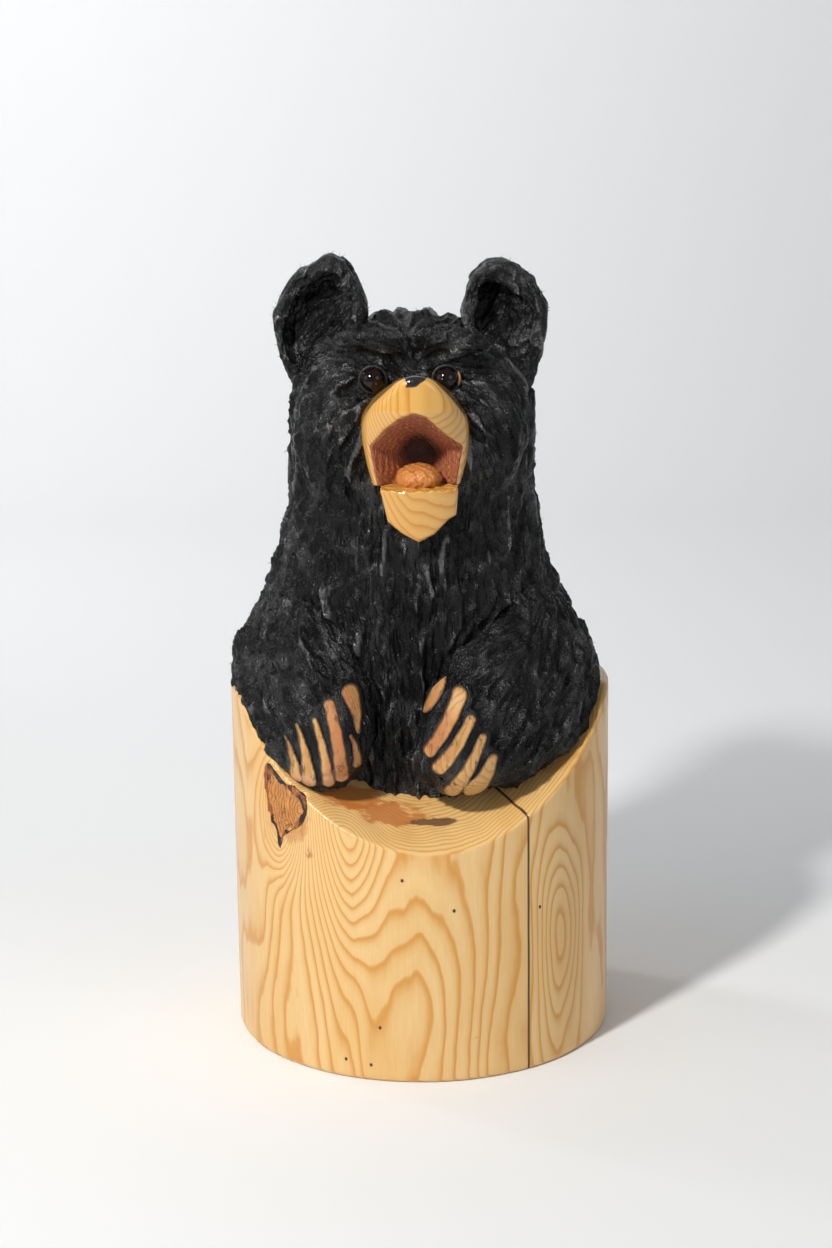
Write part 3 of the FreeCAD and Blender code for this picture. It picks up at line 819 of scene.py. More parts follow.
FINISHES = {
    "log_pine": log_pine,
    "knot_wood": knot_wood,
    "bark": bark_wood,
    "black_stain": black_fur,
    "bare_claw_wood": claw_wood,
    "lacquered_pine": lambda: pine("lacquered_pine", 0.16, 0.8, 0.85, (0.86, 0.74, 0.44)),
    "stained_mouth": mouth_stain,
    "tongue_wood": lambda: orange_wood(
        "tongue_wood", (0.62, 0.24, 0.055), (0.36, 0.095, 0.018), spots=0.7, gloss=0.4, coat=0.1
    ),
    "nose_stain": nose_stain,
    "eye_glass": glass,
    "eye_wire": lambda: plain_metal("eye_wire"),
    "eye_putty": eye_putty,
}


def finish(slot):
    """The finish of a slot, made on first use."""
    return bpy.data.materials.get(f"finish_{slot}") or FINISHES[slot]()


# Forms


def bust_field(p):
    """Head and chest as one mass, before the fur is cut. Heights are above the log's foot."""
    rows = [
        (low("torso")[2] - 45, -1, 10, 96, 80),
        (165, -1, 10, 96, 80),
        (205, -3, 13, 98, 84),
        (236, -3.5, 9, 98, 80),
        (254, -4, 6, 91, 77),
        (272, -4.5, 2, 83, 74),
        (292, -4, 0, 77, 71),
        (308, -3.5, -1, 72.5, 70),
        (322, -3, -2, 70.5, 69),
        (345, -3, -3, 70, 67),
        (370, -3, -4, 70.5, 65),
        (385, -3, -3, 68.5, 62),
        (398, -3, -2, 63, 57),
        (409, -3, 0, 53, 49),
        (417, -3, 2, 38, 36),
        (high("head")[2] + 1.5, -3, 3, 14, 14),
    ]
    mass = upright_loft(p, rows, 17)
    for side, eye in ((-1, "right_eye"), (1, "left_eye")):
        brow = ellipsoid(p, near(eye, side * 3, 9, 20), (23, 12, 8))
        mass = smooth_union(mass, brow, 11)
        cheek = ellipsoid(p, near(eye, side * 17, 13, -34), (27, 22, 34))
        mass = smooth_union(mass, cheek, 10)
        socket = ellipsoid(p, near(eye, side * 3, -9.5, 4), (22, 15, 17))
        mass = smooth_cut(mass, socket, 3.5)
    throat = np.maximum(p[2] - high("mouth_lining")[2], p[1] + 50)
    mass = np.maximum(mass, -np.maximum(mouth_field(p) - 1.2, throat))
    furrow = ellipsoid(p, near("head", 2, -66, 55), (3.5, 16, 17))
    mass = smooth_cut(mass, furrow, 5)
    return smooth_common(mass, log_side(p) + 0.5, 4)


# Points along each arm, and the radius there, from the centre of the log's foot
ARM_PATHS = {
    "right": (
        ((-44, 0, 264, 24), (-57, -8, 246, 29), (-69, -16, 233, 32), (-78, -24, 216, 35), (-74, -44, 202, 35),
         (-63, -64, 196, 29), (-54, -76, 190, 25)),
        ((-56, -34, 248, 27), (-54, -66, 214, 25), (-52, -75, 198, 24)),
    ),
    "left": (
        ((38, -4, 258, 25), (52, -9, 243, 29), (63, -16, 230, 33), (71, -24, 214, 34), (66, -44, 200, 32),
         (46, -66, 190, 29), (26, -80, 186, 25)),
        ((58, -34, 248, 25), (42, -62, 226, 24), (24, -78, 208, 23)),
    ),
}


def arm_field(p, side):
    whole = None
    for path in ARM_PATHS[side]:
        tube = limb(p, path, 8)
        whole = tube if whole is None else smooth_union(whole, tube, 10)
    lean = Matrix.Rotation(math.radians(-12 if side == "right" else 30), 3, "Y").to_quaternion()
    paw = ellipsoid(p, middle(f"{side}_paw"), (24, 17.5, 28 if side == "right" else 33), lean)
    whole = smooth_union(whole, paw, 7)
    return smooth_common(whole, log_side(p) + (0 if side == "right" else 3), 4)


def log_top_field(p):
    return ledge_height(p[0], p[1]) - 3 - p[2]


# Fur


def fur_combs():
    """Where the fur lies which way: a place, a direction, and shares of length, width and depth."""
    rows = []
    for side in (-1, 1):
        eye = "right_eye" if side < 0 else "left_eye"
        rows += [
            (near(eye, side * 2, 6, 20), (side * 0.9, -0.1, 0.5), (16, 1.1, 1.0)),
            (near(eye, side * 18, 10, 14), (side * 0.9, 0.2, 0.1), (13, 0.9, 0.8)),
            (near(eye, side * 10, 10, 28), (side * 0.6, 0.5, 0.7), (24, 1.3, 1.25)),
            (near(eye, side * 4, 30, 32), (side * 0.35, 0.9, 0.3), (24, 1.3, 1.25)),
            (near(eye, side * 36, 25, 0), (side * 0.35, 0.3, -0.9), (14, 1.0, 0.9)),
            (near(eye, side * 14, 2, -14), (side * 0.7, 0.1, -0.7), (12, 0.8, 0.7)),
            (near(eye, side * 24, 6, -34), (side * 0.25, 0.0, -1.0), (17, 0.95, 0.9)),
            (near(eye, side * 40, 40, -50), (side * 0.1, 0.0, -1.0), (18, 1.0, 1.0)),
            (near(eye, side * 20, -5, -78), (side * 0.1, 0.0, -1.0), (21, 1.0, 1.0)),
            (near(eye, side * 48, 60, -20), (0.0, 0.1, -1.0), (18, 1.1, 1.0)),
            (near(eye, side * 20, 110, 0), (0.0, 0.1, -1.0), (18, 1.1, 1.0)),
            (near(eye, side * 30, 130, -100), (0.0, 0.1, -1.0), (20, 1.15, 1.1)),
        ]
    rows += [
        (near("head", 0, -60, -50), (0.0, 0.0, -1.0), (20, 0.9, 0.9)),
        (near("torso", 0, -84, 20), (0.0, 0.0, -1.0), (22, 0.95, 1.0)),
        (near("torso", 0, -84, -40), (0.05, 0.0, -1.0), (24, 1.0, 0.9)),
        (near("torso", 0, 84, 0), (0.0, 0.1, -1.0), (22, 1.2, 1.1)),
        (near("torso", -90, 10, 0), (0.0, -0.1, -1.0), (20, 1.1, 1.0)),
        (near("torso", 90, 10, 0), (0.0, -0.1, -1.0), (20, 1.1, 1.0)),
        (near("right_arm", 0, 0, 50), (-0.35, -0.1, -0.9), (16, 1.1, 1.0)),
        (near("right_arm", -30, 10, 0), (0.05, -0.2, -1.0), (16, 1.1, 1.1)),
        (near("right_arm", 0, -30, 0), (0.35, -0.2, -0.9), (18, 1.1, 1.1)),
        (near("right_arm", 10, -45, -30), (0.35, -0.2, -0.9), (18, 1.1, 1.1)),
        (near("right_arm", -30, -20, -40), (0.3, -0.3, -0.8), (14, 1.0, 1.0)),
        (near("left_arm", 0, 0, 50), (0.25, -0.1, -0.9), (16, 1.1, 1.0)),
        (near("left_arm", 35, 10, 0), (-0.2, -0.2, -0.9), (22, 1.3, 1.2)),
        (near("left_arm", 0, -30, 10), (-0.75, -0.1, -0.65), (24, 1.35, 1.3)),
        (near("left_arm", 20, -30, -20), (-0.6, -0.2, -0.75), (24, 1.35, 1.3)),
        (near("left_arm", -20, -45, -20), (-0.7, -0.1, -0.7), (22, 1.3, 1.2)),
    ]
    return rows


def splinters(points, normals, combs, count, seed):
    """Fine three-sided slivers of torn wood that stand on the fur."""
    random = np.random.default_rng(seed)
    chosen = random.choice(len(points), count)
    way, _ = combed(points[chosen], combs)
    corners, faces = [], []
    for row, i in enumerate(chosen):
        normal = normals[i]
        lean = way[row] * random.uniform(0.1, 1.1) + normal * random.uniform(0.6, 1.2)
        lean = lean + random.normal(0, 0.25, 3)
        lean *= random.uniform(1.2, 3.6) / np.linalg.norm(lean)
        side = np.cross(normal, random.normal(0, 1, 3))
        side *= random.uniform(0.16, 0.34) / np.linalg.norm(side)
        other = np.cross(normal, side)
        foot = points[i] - normal * 0.6
        tip = foot + lean + 0.6 * normal
        corners += [foot + side, foot - 0.5 * side + 0.87 * other, foot - 0.5 * side - 0.87 * other, tip]
        faces.append(np.array(((0, 2, 1), (0, 1, 3), (1, 2, 3), (2, 0, 3))) + 4 * row)
    return np.array(corners), np.concatenate(faces)


def furred(grid, field, combs, seed, gap=9.0, swell=1.7, bare=None):
    """Meshes a field and cuts the fur into it."""
    points, quads = refined(*skin(grid, field))
    normals = normals_of(points, quads)
    depth, share = gouged(points, normals, combs, gap, seed)
    fine, fine_share = gouged(points, normals, combs, gap * 0.72, seed + 1, 0.24, 0.36)
    depth, share = depth + fine, 0.7 * share + 0.3 * fine_share
    if bare is not None:
        keep = bare(points)
        depth = depth * keep + (1 - keep) * 3.1
    points = points - normals * (depth - swell)[:, None]
    return points, quads, share, normals


def fur_mesh(name, points, quads, share, normals, combs, seed):
    """A mesh of cut fur with splinters on it, which remembers where its ridges are."""
    count = int(bpy.context.scene.bear_sizes.splinters * len(points) / 90000)
    spikes, sides = splinters(points, normals, combs, count, seed + 5)
    quads_as_triangles = np.concatenate((quads[:, (0, 1, 2)], quads[:, (0, 2, 3)]))
    all_points, faces = joined(((points, quads_as_triangles), (spikes, sides)))
    mesh = mesh_from(name, all_points, faces)
    mesh.shade_flat()
    # The ridge values steer the painted highlights in the fur's colour; splinters get strong ones.
    attribute(mesh, "ridge", np.concatenate((1 - share, np.full(len(spikes), 0.9))))
    return mesh


def halve(mesh, point, normal, keep_front):
    """Cuts a mesh by a plane, keeps one side and closes it."""
    work = bmesh.new()
    work.from_mesh(mesh)
    everything = work.verts[:] + work.edges[:] + work.faces[:]
    bmesh.ops.bisect_plane(
        work, geom=everything, plane_co=point * MM, plane_no=normal,
        clear_inner=keep_front, clear_outer=not keep_front,
    )
    rim = [e for e in work.edges if e.is_boundary]
    bmesh.ops.holes_fill(work, edges=rim, sides=0)
    bmesh.ops.triangulate(work, faces=[f for f in work.faces if len(f.verts) > 4])
    work.to_mesh(mesh)
    work.free()


# Operators


class BEAR_OT_bust(bpy.types.Operator):
    """Carve the head and the chest"""

    bl_idname = "bear.bust"
    bl_label = "Carve head and chest"

    def execute(self, context):
        step = context.scene.bear_sizes.fur_mesh / MM * 2
        lo = np.array((low("torso")[0] - 4, low("torso")[1] - 12, low("torso")[2] - 6))
        hi = np.array((high("torso")[0] + 4, high("torso")[1] + 8, high("head")[2] + 8))
        grid = Grid(lo, hi, step)
        field = np.maximum(bust_field(grid.points), log_top_field(grid.points))
        combs = fur_combs()
        cut = furred(grid, field, combs, 11)
        neck = low("head")[2]
        for name, keep_above in (("head", True), ("torso", False)):
            mesh = fur_mesh(name, *cut, combs, 11)
            halve(mesh, Vector((0, 0, neck)), Vector((0, 0, 1)), keep_above)
            piece(f"carved_{name}", mesh, "black_stain", name)
        return {"FINISHED"}


class BEAR_OT_arms(bpy.types.Operator):
    """Carve the arms and the paws"""

    bl_idname = "bear.arms"
    bl_label = "Carve arms and paws"

    def execute(self, context):
        step = context.scene.bear_sizes.fur_mesh / MM * 2
        combs = fur_combs()
        for number, side in enumerate(("right", "left")):
            lo = np.minimum(low(f"{side}_arm"), low(f"{side}_paw")) - 14
            hi = np.maximum(high(f"{side}_arm"), high(f"{side}_paw")) + 14
            grid = Grid(lo, hi, step)
            field = np.maximum(arm_field(grid.points, side), log_top_field(grid.points))
            cut = furred(grid, field, combs, 31 + number, bare=lambda p: off_claws(p, side))
            mesh = fur_mesh(side, *cut, combs, 31 + number)
            piece(f"carved_{side}_arm", mesh, "black_stain", f"{side}_arm", f"{side}_paw")
        return {"FINISHED"}


# Stripes of bare wood on each paw, from the paw's middle: top x z, bottom x z, half width at each end
STRIPES = {
    "right": (
        ((-22.5, 5.0), (-17.0, -17.5), 0.4, 3.6),
        ((-15.5, 13.0), (-9.5, -18.5), 0.8, 4.2),
        ((-5.5, 17.5), (1.5, -18.5), 1.4, 3.4),
        ((3.0, 26.0), (9.0, -15.0), 3.0, 3.8),
        ((14.0, 31.0), (18.5, 10.5), 4.4, 0.9),
        ((14.5, 9.0), (17.5, -8.0), 0.7, 2.4),
    ),
    "left": (
        ((-11.0, 37.5), (-20.5, 19.0), 3.6, 1.4),
        ((-0.5, 30.5), (-17.5, -1.0), 4.0, 3.2),
        ((5.5, 18.0), (-12.0, -9.5), 2.6, 4.0),
        ((12.0, 7.5), (-5.0, -24.0), 2.2, 4.4),
        ((17.5, -5.0), (7.0, -23.5), 2.6, 6.0),
    ),
}


def stripe_distance(x, z, side):
    """Flat distance from the nearest of a paw's stripes."""
    cx, _, cz = middle(f"{side}_paw")
    best = None
    for number, ((x1, z1), (x2, z2), w1, w2) in enumerate(STRIPES[side]):
        x1, x2, z1, z2 = x1 + cx, x2 + cx, z1 + cz, z2 + cz
        run = np.array((x2 - x1, z2 - z1))
        t = np.clip(((x - x1) * run[0] + (z - z1) * run[1]) / (run @ run), 0, 1)
        bow = 1.3 * np.sin(t * math.pi)
        sway = 0.15 * np.sin(z * 0.6 + number * 2)
        gap = np.sqrt((x - x1 - t * run[0] - bow - sway) ** 2 + (z - z1 - t * run[1]) ** 2)
        gap = gap - (w1 + (w2 - w1) * t)
        best = gap if best is None else np.minimum(best, gap)
    return best


def off_claws(points, side):
    """0 on a paw's claw field, 1 away from it."""
    gap = stripe_distance(points[:, 0], points[:, 2], side)
    front = points[:, 1] < middle(f"{side}_paw")[1] + 6
    return np.where(front, np.clip((gap - 2.5) / 2.0, 0, 1), 1.0)


class BEAR_OT_claws(bpy.types.Operator):
    """Carve the stripes of bare wood on the paws"""

    bl_idname = "bear.claws"
    bl_label = "Carve claws"

    def execute(self, context):
        step = context.scene.bear_sizes.smooth_mesh / MM
        for side in ("right", "left"):
            lo, hi = low(f"{side}_paw") - (6, 6, 6), high(f"{side}_paw") + (6, 0, 14)
            hi[1] = middle(f"{side}_paw")[1] + 8
            grid = Grid(lo, hi, step)
            p = grid.points
            arm = arm_field(p, side)
            shell = np.maximum(arm + 0.5, -(arm + 5.0))
            wear = 0.10 * np.sin(p[2] * 0.55 + p[0] * 0.21) * np.sin(p[0] * 0.5)
            stripes = smooth_common(shell + wear, stripe_distance(p[0], p[2], side) - 0.5, 0.7)
            stripes = np.maximum(stripes, p[1] - middle(f"{side}_paw")[1] - 4)
            points, quads = skin(grid, stripes)
            mesh = mesh_from(f"{side}_claws", points, quads)
            attribute(mesh, "burn", 1 + stripe_distance(points[:, 0], points[:, 2], side) / 1.7)
            piece(f"bare_{side}_claws", mesh, "bare_claw_wood", f"{side}_claws")
        return {"FINISHED"}


EARS = {
    "right": (
        ((-14.9, -37.2), (-22.7, -19.6), (-26.0, 1.1), (-23.6, 8.7), (-14.6, 23.7), (-4.1, 30.5), (6.2, 35.8),
         (16.4, 31.4), (23.2, 18.9), (27.8, 2.1), (21, -12), (10, -30), (-4, -40)),
        ((-12.2, -25.5), (-19.1, -17.8), (-17.5, -1.6), (-10.4, 14.5), (6.8, 21.5), (14.6, 13.1), (17.8, 8.8),
         (16.5, -0.9), (6, -14), (-4, -24)),
    ),
    "left": (
        ((16.4, -38.8), (24.1, -13.8), (25.7, -0.8), (25.1, 10.1), (17.0, 23.1), (6.2, 30.8), (-2.5, 31.9),
         (-10.6, 30.4), (-18.2, 21.4), (-20.4, 11.7), (-23.2, 3.1), (-20, -12), (-10, -30), (4, -42)),
        ((5.8, -27.0), (-2.9, -21.5), (-15.3, -2.9), (-14.7, 4.7), (-11.4, 18.6), (-6.0, 20.1), (3.7, 14.1),
         (14.5, 6.5), (16.7, 0.0), (14.5, -13.0), (10, -22)),
    ),
}


class BEAR_OT_ears(bpy.types.Operator):
    """Carve the ears"""

    bl_idname = "bear.ears"
    bl_label = "Carve ears"

    def execute(self, context):
        step = context.scene.bear_sizes.fur_mesh / MM * 1.6
        for number, side in enumerate(("right", "left")):
            name = f"{side}_ear"
            cx, _, cz = middle(name)
            grid = Grid(low(name) - (3, 6, 10), high(name) + (3, 6, 8), step)
            p = grid.points
            u, w = p[0] - cx, p[2] - cz
            rim, hollow = (outline_field(shape)(u, w) for shape in EARS[side])
            lean = 0.16 * w
            front, back = low(name)[1] - 1 + lean, high(name)[1] - 5 + lean
            slab = smooth_common(rim, np.maximum(front - p[1], p[1] - back), 5)
            floor = front + 4.0 + 13.0 * np.clip(0.5 - u / 34 + w / 60, 0, 1.2)
            well = smooth_common(hollow, p[1] - floor, 1.5)
            shape = smooth_cut(slab, well, 0.8)
            combs = [
                (middle(name) + (0, -14, 30), (0.2, 0, 1.0), (9, 0.9, 0.15)),
                (middle(name) + (-22, -14, 0), (-0.3, 0, 1.0), (9, 0.8, 0.12)),
                (middle(name) + (22, -14, 0), (0.3, 0, 1.0), (10, 0.9, 0.15)),
                (middle(name) + (-4, -8, 0), (0.75, 0.1, 0.8), (17, 1.2, 1.15)),
                (middle(name) + (8, -8, 8), (0.75 if side == "right" else -0.75, 0.1, 0.8), (17, 1.2, 1.2)),
                (middle(name) + (0, 20, 0), (0.0, 0, 1.0), (14, 1.1, 0.9)),
            ]
            cut = furred(grid, shape, combs, 51 + number, 8.0, 0.5)
            mesh = fur_mesh(name, *cut, combs, 51 + number)
            piece(f"carved_{name}", mesh, "black_stain", name)
        return {"FINISHED"}


# Outlines from the front, as offsets from the middle of the upper muzzle's or the jaw's box
MUZZLE = (
    (-20.5, -48.0), (-24.4, -31.0), (-28.2, -15.3), (-31.0, 3.0), (-25.0, 14.0), (-15.5, 24.2),
    (-8.5, 30.2), (0.0, 32.8), (8.5, 30.2), (15.5, 23.4), (23.5, 13.0), (28.8, 3.0),
    (27.8, -14.5), (23.6, -31.0), (19.5, -48.0),
)
MOUTH = (
    (-21.8, -36.0), (-22.6, -29.0), (-26.0, -7.6), (-17.2, 3.2), (-9.0, 10.0), (-1.2, 13.2), (5.6, 10.6),
    (10.6, 5.4), (17.5, -1.4), (25.4, -8.0), (22.2, -29.0), (21.6, -36.0),
)
JAW = (
    (-22.0, 22.0), (-19.0, 9.0), (-17.2, 0.6), (-9.0, -6.2), (-0.5, -10.8), (8.0, -6.4),
    (16.0, 1.8), (20.2, 3.8), (21.6, 22.0),
)
NOSE = (
    (-7.5, 36.0), (6.5, 36.0), (6.0, 31.6), (2.6, 28.6), (-0.5, 26.6), (-3.4, 26.2),
    (-6.2, 27.0), (-5.4, 29.4),
)


def from_muzzle(p):
    cx, cy, cz = middle("upper_muzzle")
    return p[0] - cx, p[1] - cy, p[2] - cz


def lip_line(x, z):
    """How far forward the muzzle reaches."""
    return -27.5 + np.maximum(0, 13.0 - z) * 0.40 + 0.019 * x * x


def muzzle_field(p):
    x, y, z = from_muzzle(p)
    body = outline_field(MUZZLE)(x, z)
    top = z - (33.4 - 0.010 * x * x - 0.28 * np.maximum(0, y + 20))
    width = np.interp(np.ravel(y), (-31, -29, -22, -12, 0, 15), (7, 14, 22, 28, 31, 33)).reshape(y.shape)
    sides = (np.abs(x) - width) * 0.8
    body = smooth_common(body, sides, 4)
    body = smooth_common(body, top, 3)
    body = smooth_common(body, lip_line(x, z) - y, 4.5)
    return np.maximum(body, np.maximum(y - 33, -30.5 - z))


def mouth_field(p):
    x, y, z = from_muzzle(p)
    back = np.clip((15.0 - y) / (15.0 - lip_line(x, z)), 0.004, 1.6) ** 0.55
    return polygon_field(MOUTH)((x - 1.5) / back + 1.5, (z + 17.0) / back - 17.0) * np.minimum(back, 1) * 0.8


class BEAR_OT_muzzle(bpy.types.Operator):
    """Carve the muzzle, the mouth, the tongue, the lower jaw and the nose"""

    bl_idname = "bear.muzzle"
    bl_label = "Carve muzzle and mouth"

    def execute(self, context):
        step = context.scene.bear_sizes.smooth_mesh / MM
        grid = Grid(low("upper_muzzle") - 5, high("upper_muzzle") + 5, step)
        p = grid.points
        x, y, z = from_muzzle(p)
        body, mouth = muzzle_field(p), mouth_field(p)
        sculpted("pine_muzzle", grid, smooth_cut(body, mouth, 0.9), "lacquered_pine", "upper_muzzle")

        reach = np.sqrt((x * 0.9) ** 2 + (z + 16.0) ** 2)
        wave = np.sin(reach * 2.6 + 1.5 * np.sin(x * 0.31) + 0.9 * np.sin(z * 0.5 + x * 0.2))
        relief = 0.28 * wave + 0.22 * np.sin(x * 1.9 + z * 0.8 + 2 * np.sin(z * 0.7))
        lining = np.maximum(mouth - 0.7, -(mouth + 0.75 + relief))
        lining = np.maximum(lining, lip_line(x, z) + 0.9 - y)
        plug = np.maximum(mouth - 3.0, np.abs(y - 13.5) - 2.5)
        lining = np.minimum(lining, plug)
        lining = np.maximum(lining, np.maximum(body + 0.5, -30.2 - z))
        sculpted("stained_lining", grid, lining, "stained_mouth", "mouth_lining")

        patch = np.maximum(body - 0.22, -(body + 0.8))
        patch = smooth_common(patch, outline_field(NOSE)(x, z + 0.10 * (y + 29)), 0.8)
        patch = np.maximum(patch, y + 14)
        sculpted("stained_nose", grid, patch, "nose_stain", "nose")

        grid = Grid(low("lower_jaw") - (4, 8, 4), high("lower_jaw") + (4, 4, 4), step)
        p = grid.points
        x, z = p[0] - middle("lower_jaw")[0], p[2] - middle("lower_jaw")[2]
        front = low("lower_jaw")[1] + 0.26 * (high("lower_jaw")[2] - p[2]) + 0.012 * x * x
        jaw = smooth_common(polygon_field(JAW)(x, z), front - p[1], 2.2)
        rough = 0.35 * np.sin(p[0] * 0.8 + 2 * np.sin(p[1] * 0.3)) + 0.25 * np.sin(p[1] * 1.3 + p[0])
        jaw = smooth_common(jaw, p[2] - (high("lower_jaw")[2] - 0.8 + rough), 1.0)
        jaw = np.maximum(jaw, p[1] - high("lower_jaw")[1])
        sculpted("pine_jaw", grid, jaw, "lacquered_pine", "lower_jaw")

        grid = Grid(low("tongue") - (4, 6, 4), high("tongue") + (4, 4, 4), step)
        p = grid.points
        lump = ellipsoid(p, near("tongue", 1.0, -3, -3.5), (12.6, 15.0, 8.0))
        hump = ellipsoid(p, near("tongue", 4.5, -12, -2.0), (6.5, 6.0, 4.6))
        lump = smooth_union(lump, hump, 4)
        lump = lump + 0.45 * np.sin(p[0] * 1.1 + 1.4 * np.sin(p[2])) * np.sin(p[2] * 1.2 + p[1] * 0.5)
        lump = lump + 0.25 * np.sin(p[0] * 2.3 + p[1] * 1.7)
        lump = np.maximum(lump, low("tongue")[2] - 1.5 - p[2])
        sculpted("carved_tongue", grid, lump, "tongue_wood", "tongue")
        return {"FINISHED"}


def ring_of(profile, centre, axis, turns=64, arc=(0.0, 1.0), wobble=0.0, seed=0):
    """Sweeps a closed profile of radius and height round an axis, as points and quads; an arc gets ends."""
    random = np.random.default_rng(seed)
    axis = Vector(axis).normalized()
    frame_turn = np.array(axis.to_track_quat("Z", "Y").to_matrix())
    whole = arc == (0.0, 1.0)
    count = turns if whole else turns + 1
    angles = 2 * math.pi * np.linspace(arc[0], arc[1], turns + 1)[:count]
    rows = []
    for angle in angles:
        shake = random.normal(0, wobble, (len(profile), 2)) if wobble else 0
        radii, heights = (np.array(profile) + shake).T
        rows.append(np.stack((radii * math.cos(angle), radii * math.sin(angle), heights), 1))
    points = np.concatenate(rows) @ frame_turn.T + centre
    n = len(profile)
    faces = []
    for i in range(count if whole else count - 1):
        j = (i + 1) % count
        faces += [(i * n + k, j * n + k, j * n + (k + 1) % n, i * n + (k + 1) % n) for k in range(n)]
    if not whole:
        for start, order in ((0, 1), ((count - 1) * n, -1)):
            face = [start + k for k in range(n)][::order]
            faces += [(face[0], face[k], face[k + 1], face[k + 1]) for k in range(1, n - 1)]
    return points, np.array(faces)


class BEAR_OT_eyes(bpy.types.Operator):
    """Set the glass eyes, their wires and the putty round them"""

    bl_idname = "bear.eyes"
    bl_label = "Set eyes"

    def execute(self, context):
        for side in ("right", "left"):
            eye = f"{side}_eye"
            radius = (high(eye)[0] - low(eye)[0]) / 2
            centre = np.array((middle(eye)[0], low(eye)[1] + radius, middle(eye)[2]))
            across, down = 48, 32
            points, faces = [], []
            for j in range(down + 1):
                tilt = math.pi * j / down
                for i in range(across):
                    turn = 2 * math.pi * i / across
                    ring = radius * max(math.sin(tilt), 1e-4)
                    points.append((ring * math.cos(turn), -radius * math.cos(tilt), ring * math.sin(turn)))
            for j in range(down):
                for i in range(across):
                    k = (i + 1) % across
                    faces.append((j * across + i, j * across + k, (j + 1) * across + k, (j + 1) * across + i))
            mesh = mesh_from(eye, np.array(points) + centre, np.array(faces))
            piece(f"glass_{eye}", mesh, "eye_glass", eye)
            profile = [
                (radius + 0.2 + 0.9 * math.cos(t), 0.8 * math.sin(t) + 0.2)
                for t in np.linspace(0, 2 * math.pi, 12, endpoint=False)
            ]
            ring = ring_of(profile, centre, (0.0, -1.0, 0.12), 72, wobble=0.12, seed=3)
            mesh = mesh_from(f"{eye}_putty", *ring)
            piece(f"putty_{eye}", mesh, "eye_putty", f"{eye}_putty")
            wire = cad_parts[f"{eye}_wire"]
            wire.data.materials.clear()
            wire.data.materials.append(finish("eye_wire"))
        return {"FINISHED"}


# The knot's outline along the log's face, from its box's middle
KNOT = (
    (-18.5, 21.2), (-18.6, 15.5), (-19.1, 9.3), (-17.7, 1.7), (-14.8, -5.5), (-11.1, -12.5), (-8.3, -17.7),
    (-6.4, -25.2), (-2.5, -16.4), (7.0, -10.5), (12.7, -5.5), (15.9, 1.9), (15.5, 7.6), (12.6, 11.0),
    (7.8, 12.9), (1.3, 14.8), (-4.1, 17.6), (-9.8, 21.2), (-14.2, 23.9),
)
KNOT_HEART = np.array((-2.0, 0.0))


def knot_edge(count):
    """Points round the knot's outline, at equal turns about its heart."""
    corners = np.array(KNOT) - KNOT_HEART
    turns = np.unwrap(np.arctan2(corners[:, 1], corners[:, 0]))
    reach = np.hypot(*corners.T)
    order = np.argsort(turns)
    wanted = np.linspace(0, 2 * math.pi, count + 1)[:-1]
    reach = np.interp(wanted, turns[order], reach[order], period=2 * math.pi)
    reach = (np.roll(reach, 1) + 2 * reach + np.roll(reach, -1)) / 4
    return np.stack((reach * np.cos(wanted), reach * np.sin(wanted)), 1)


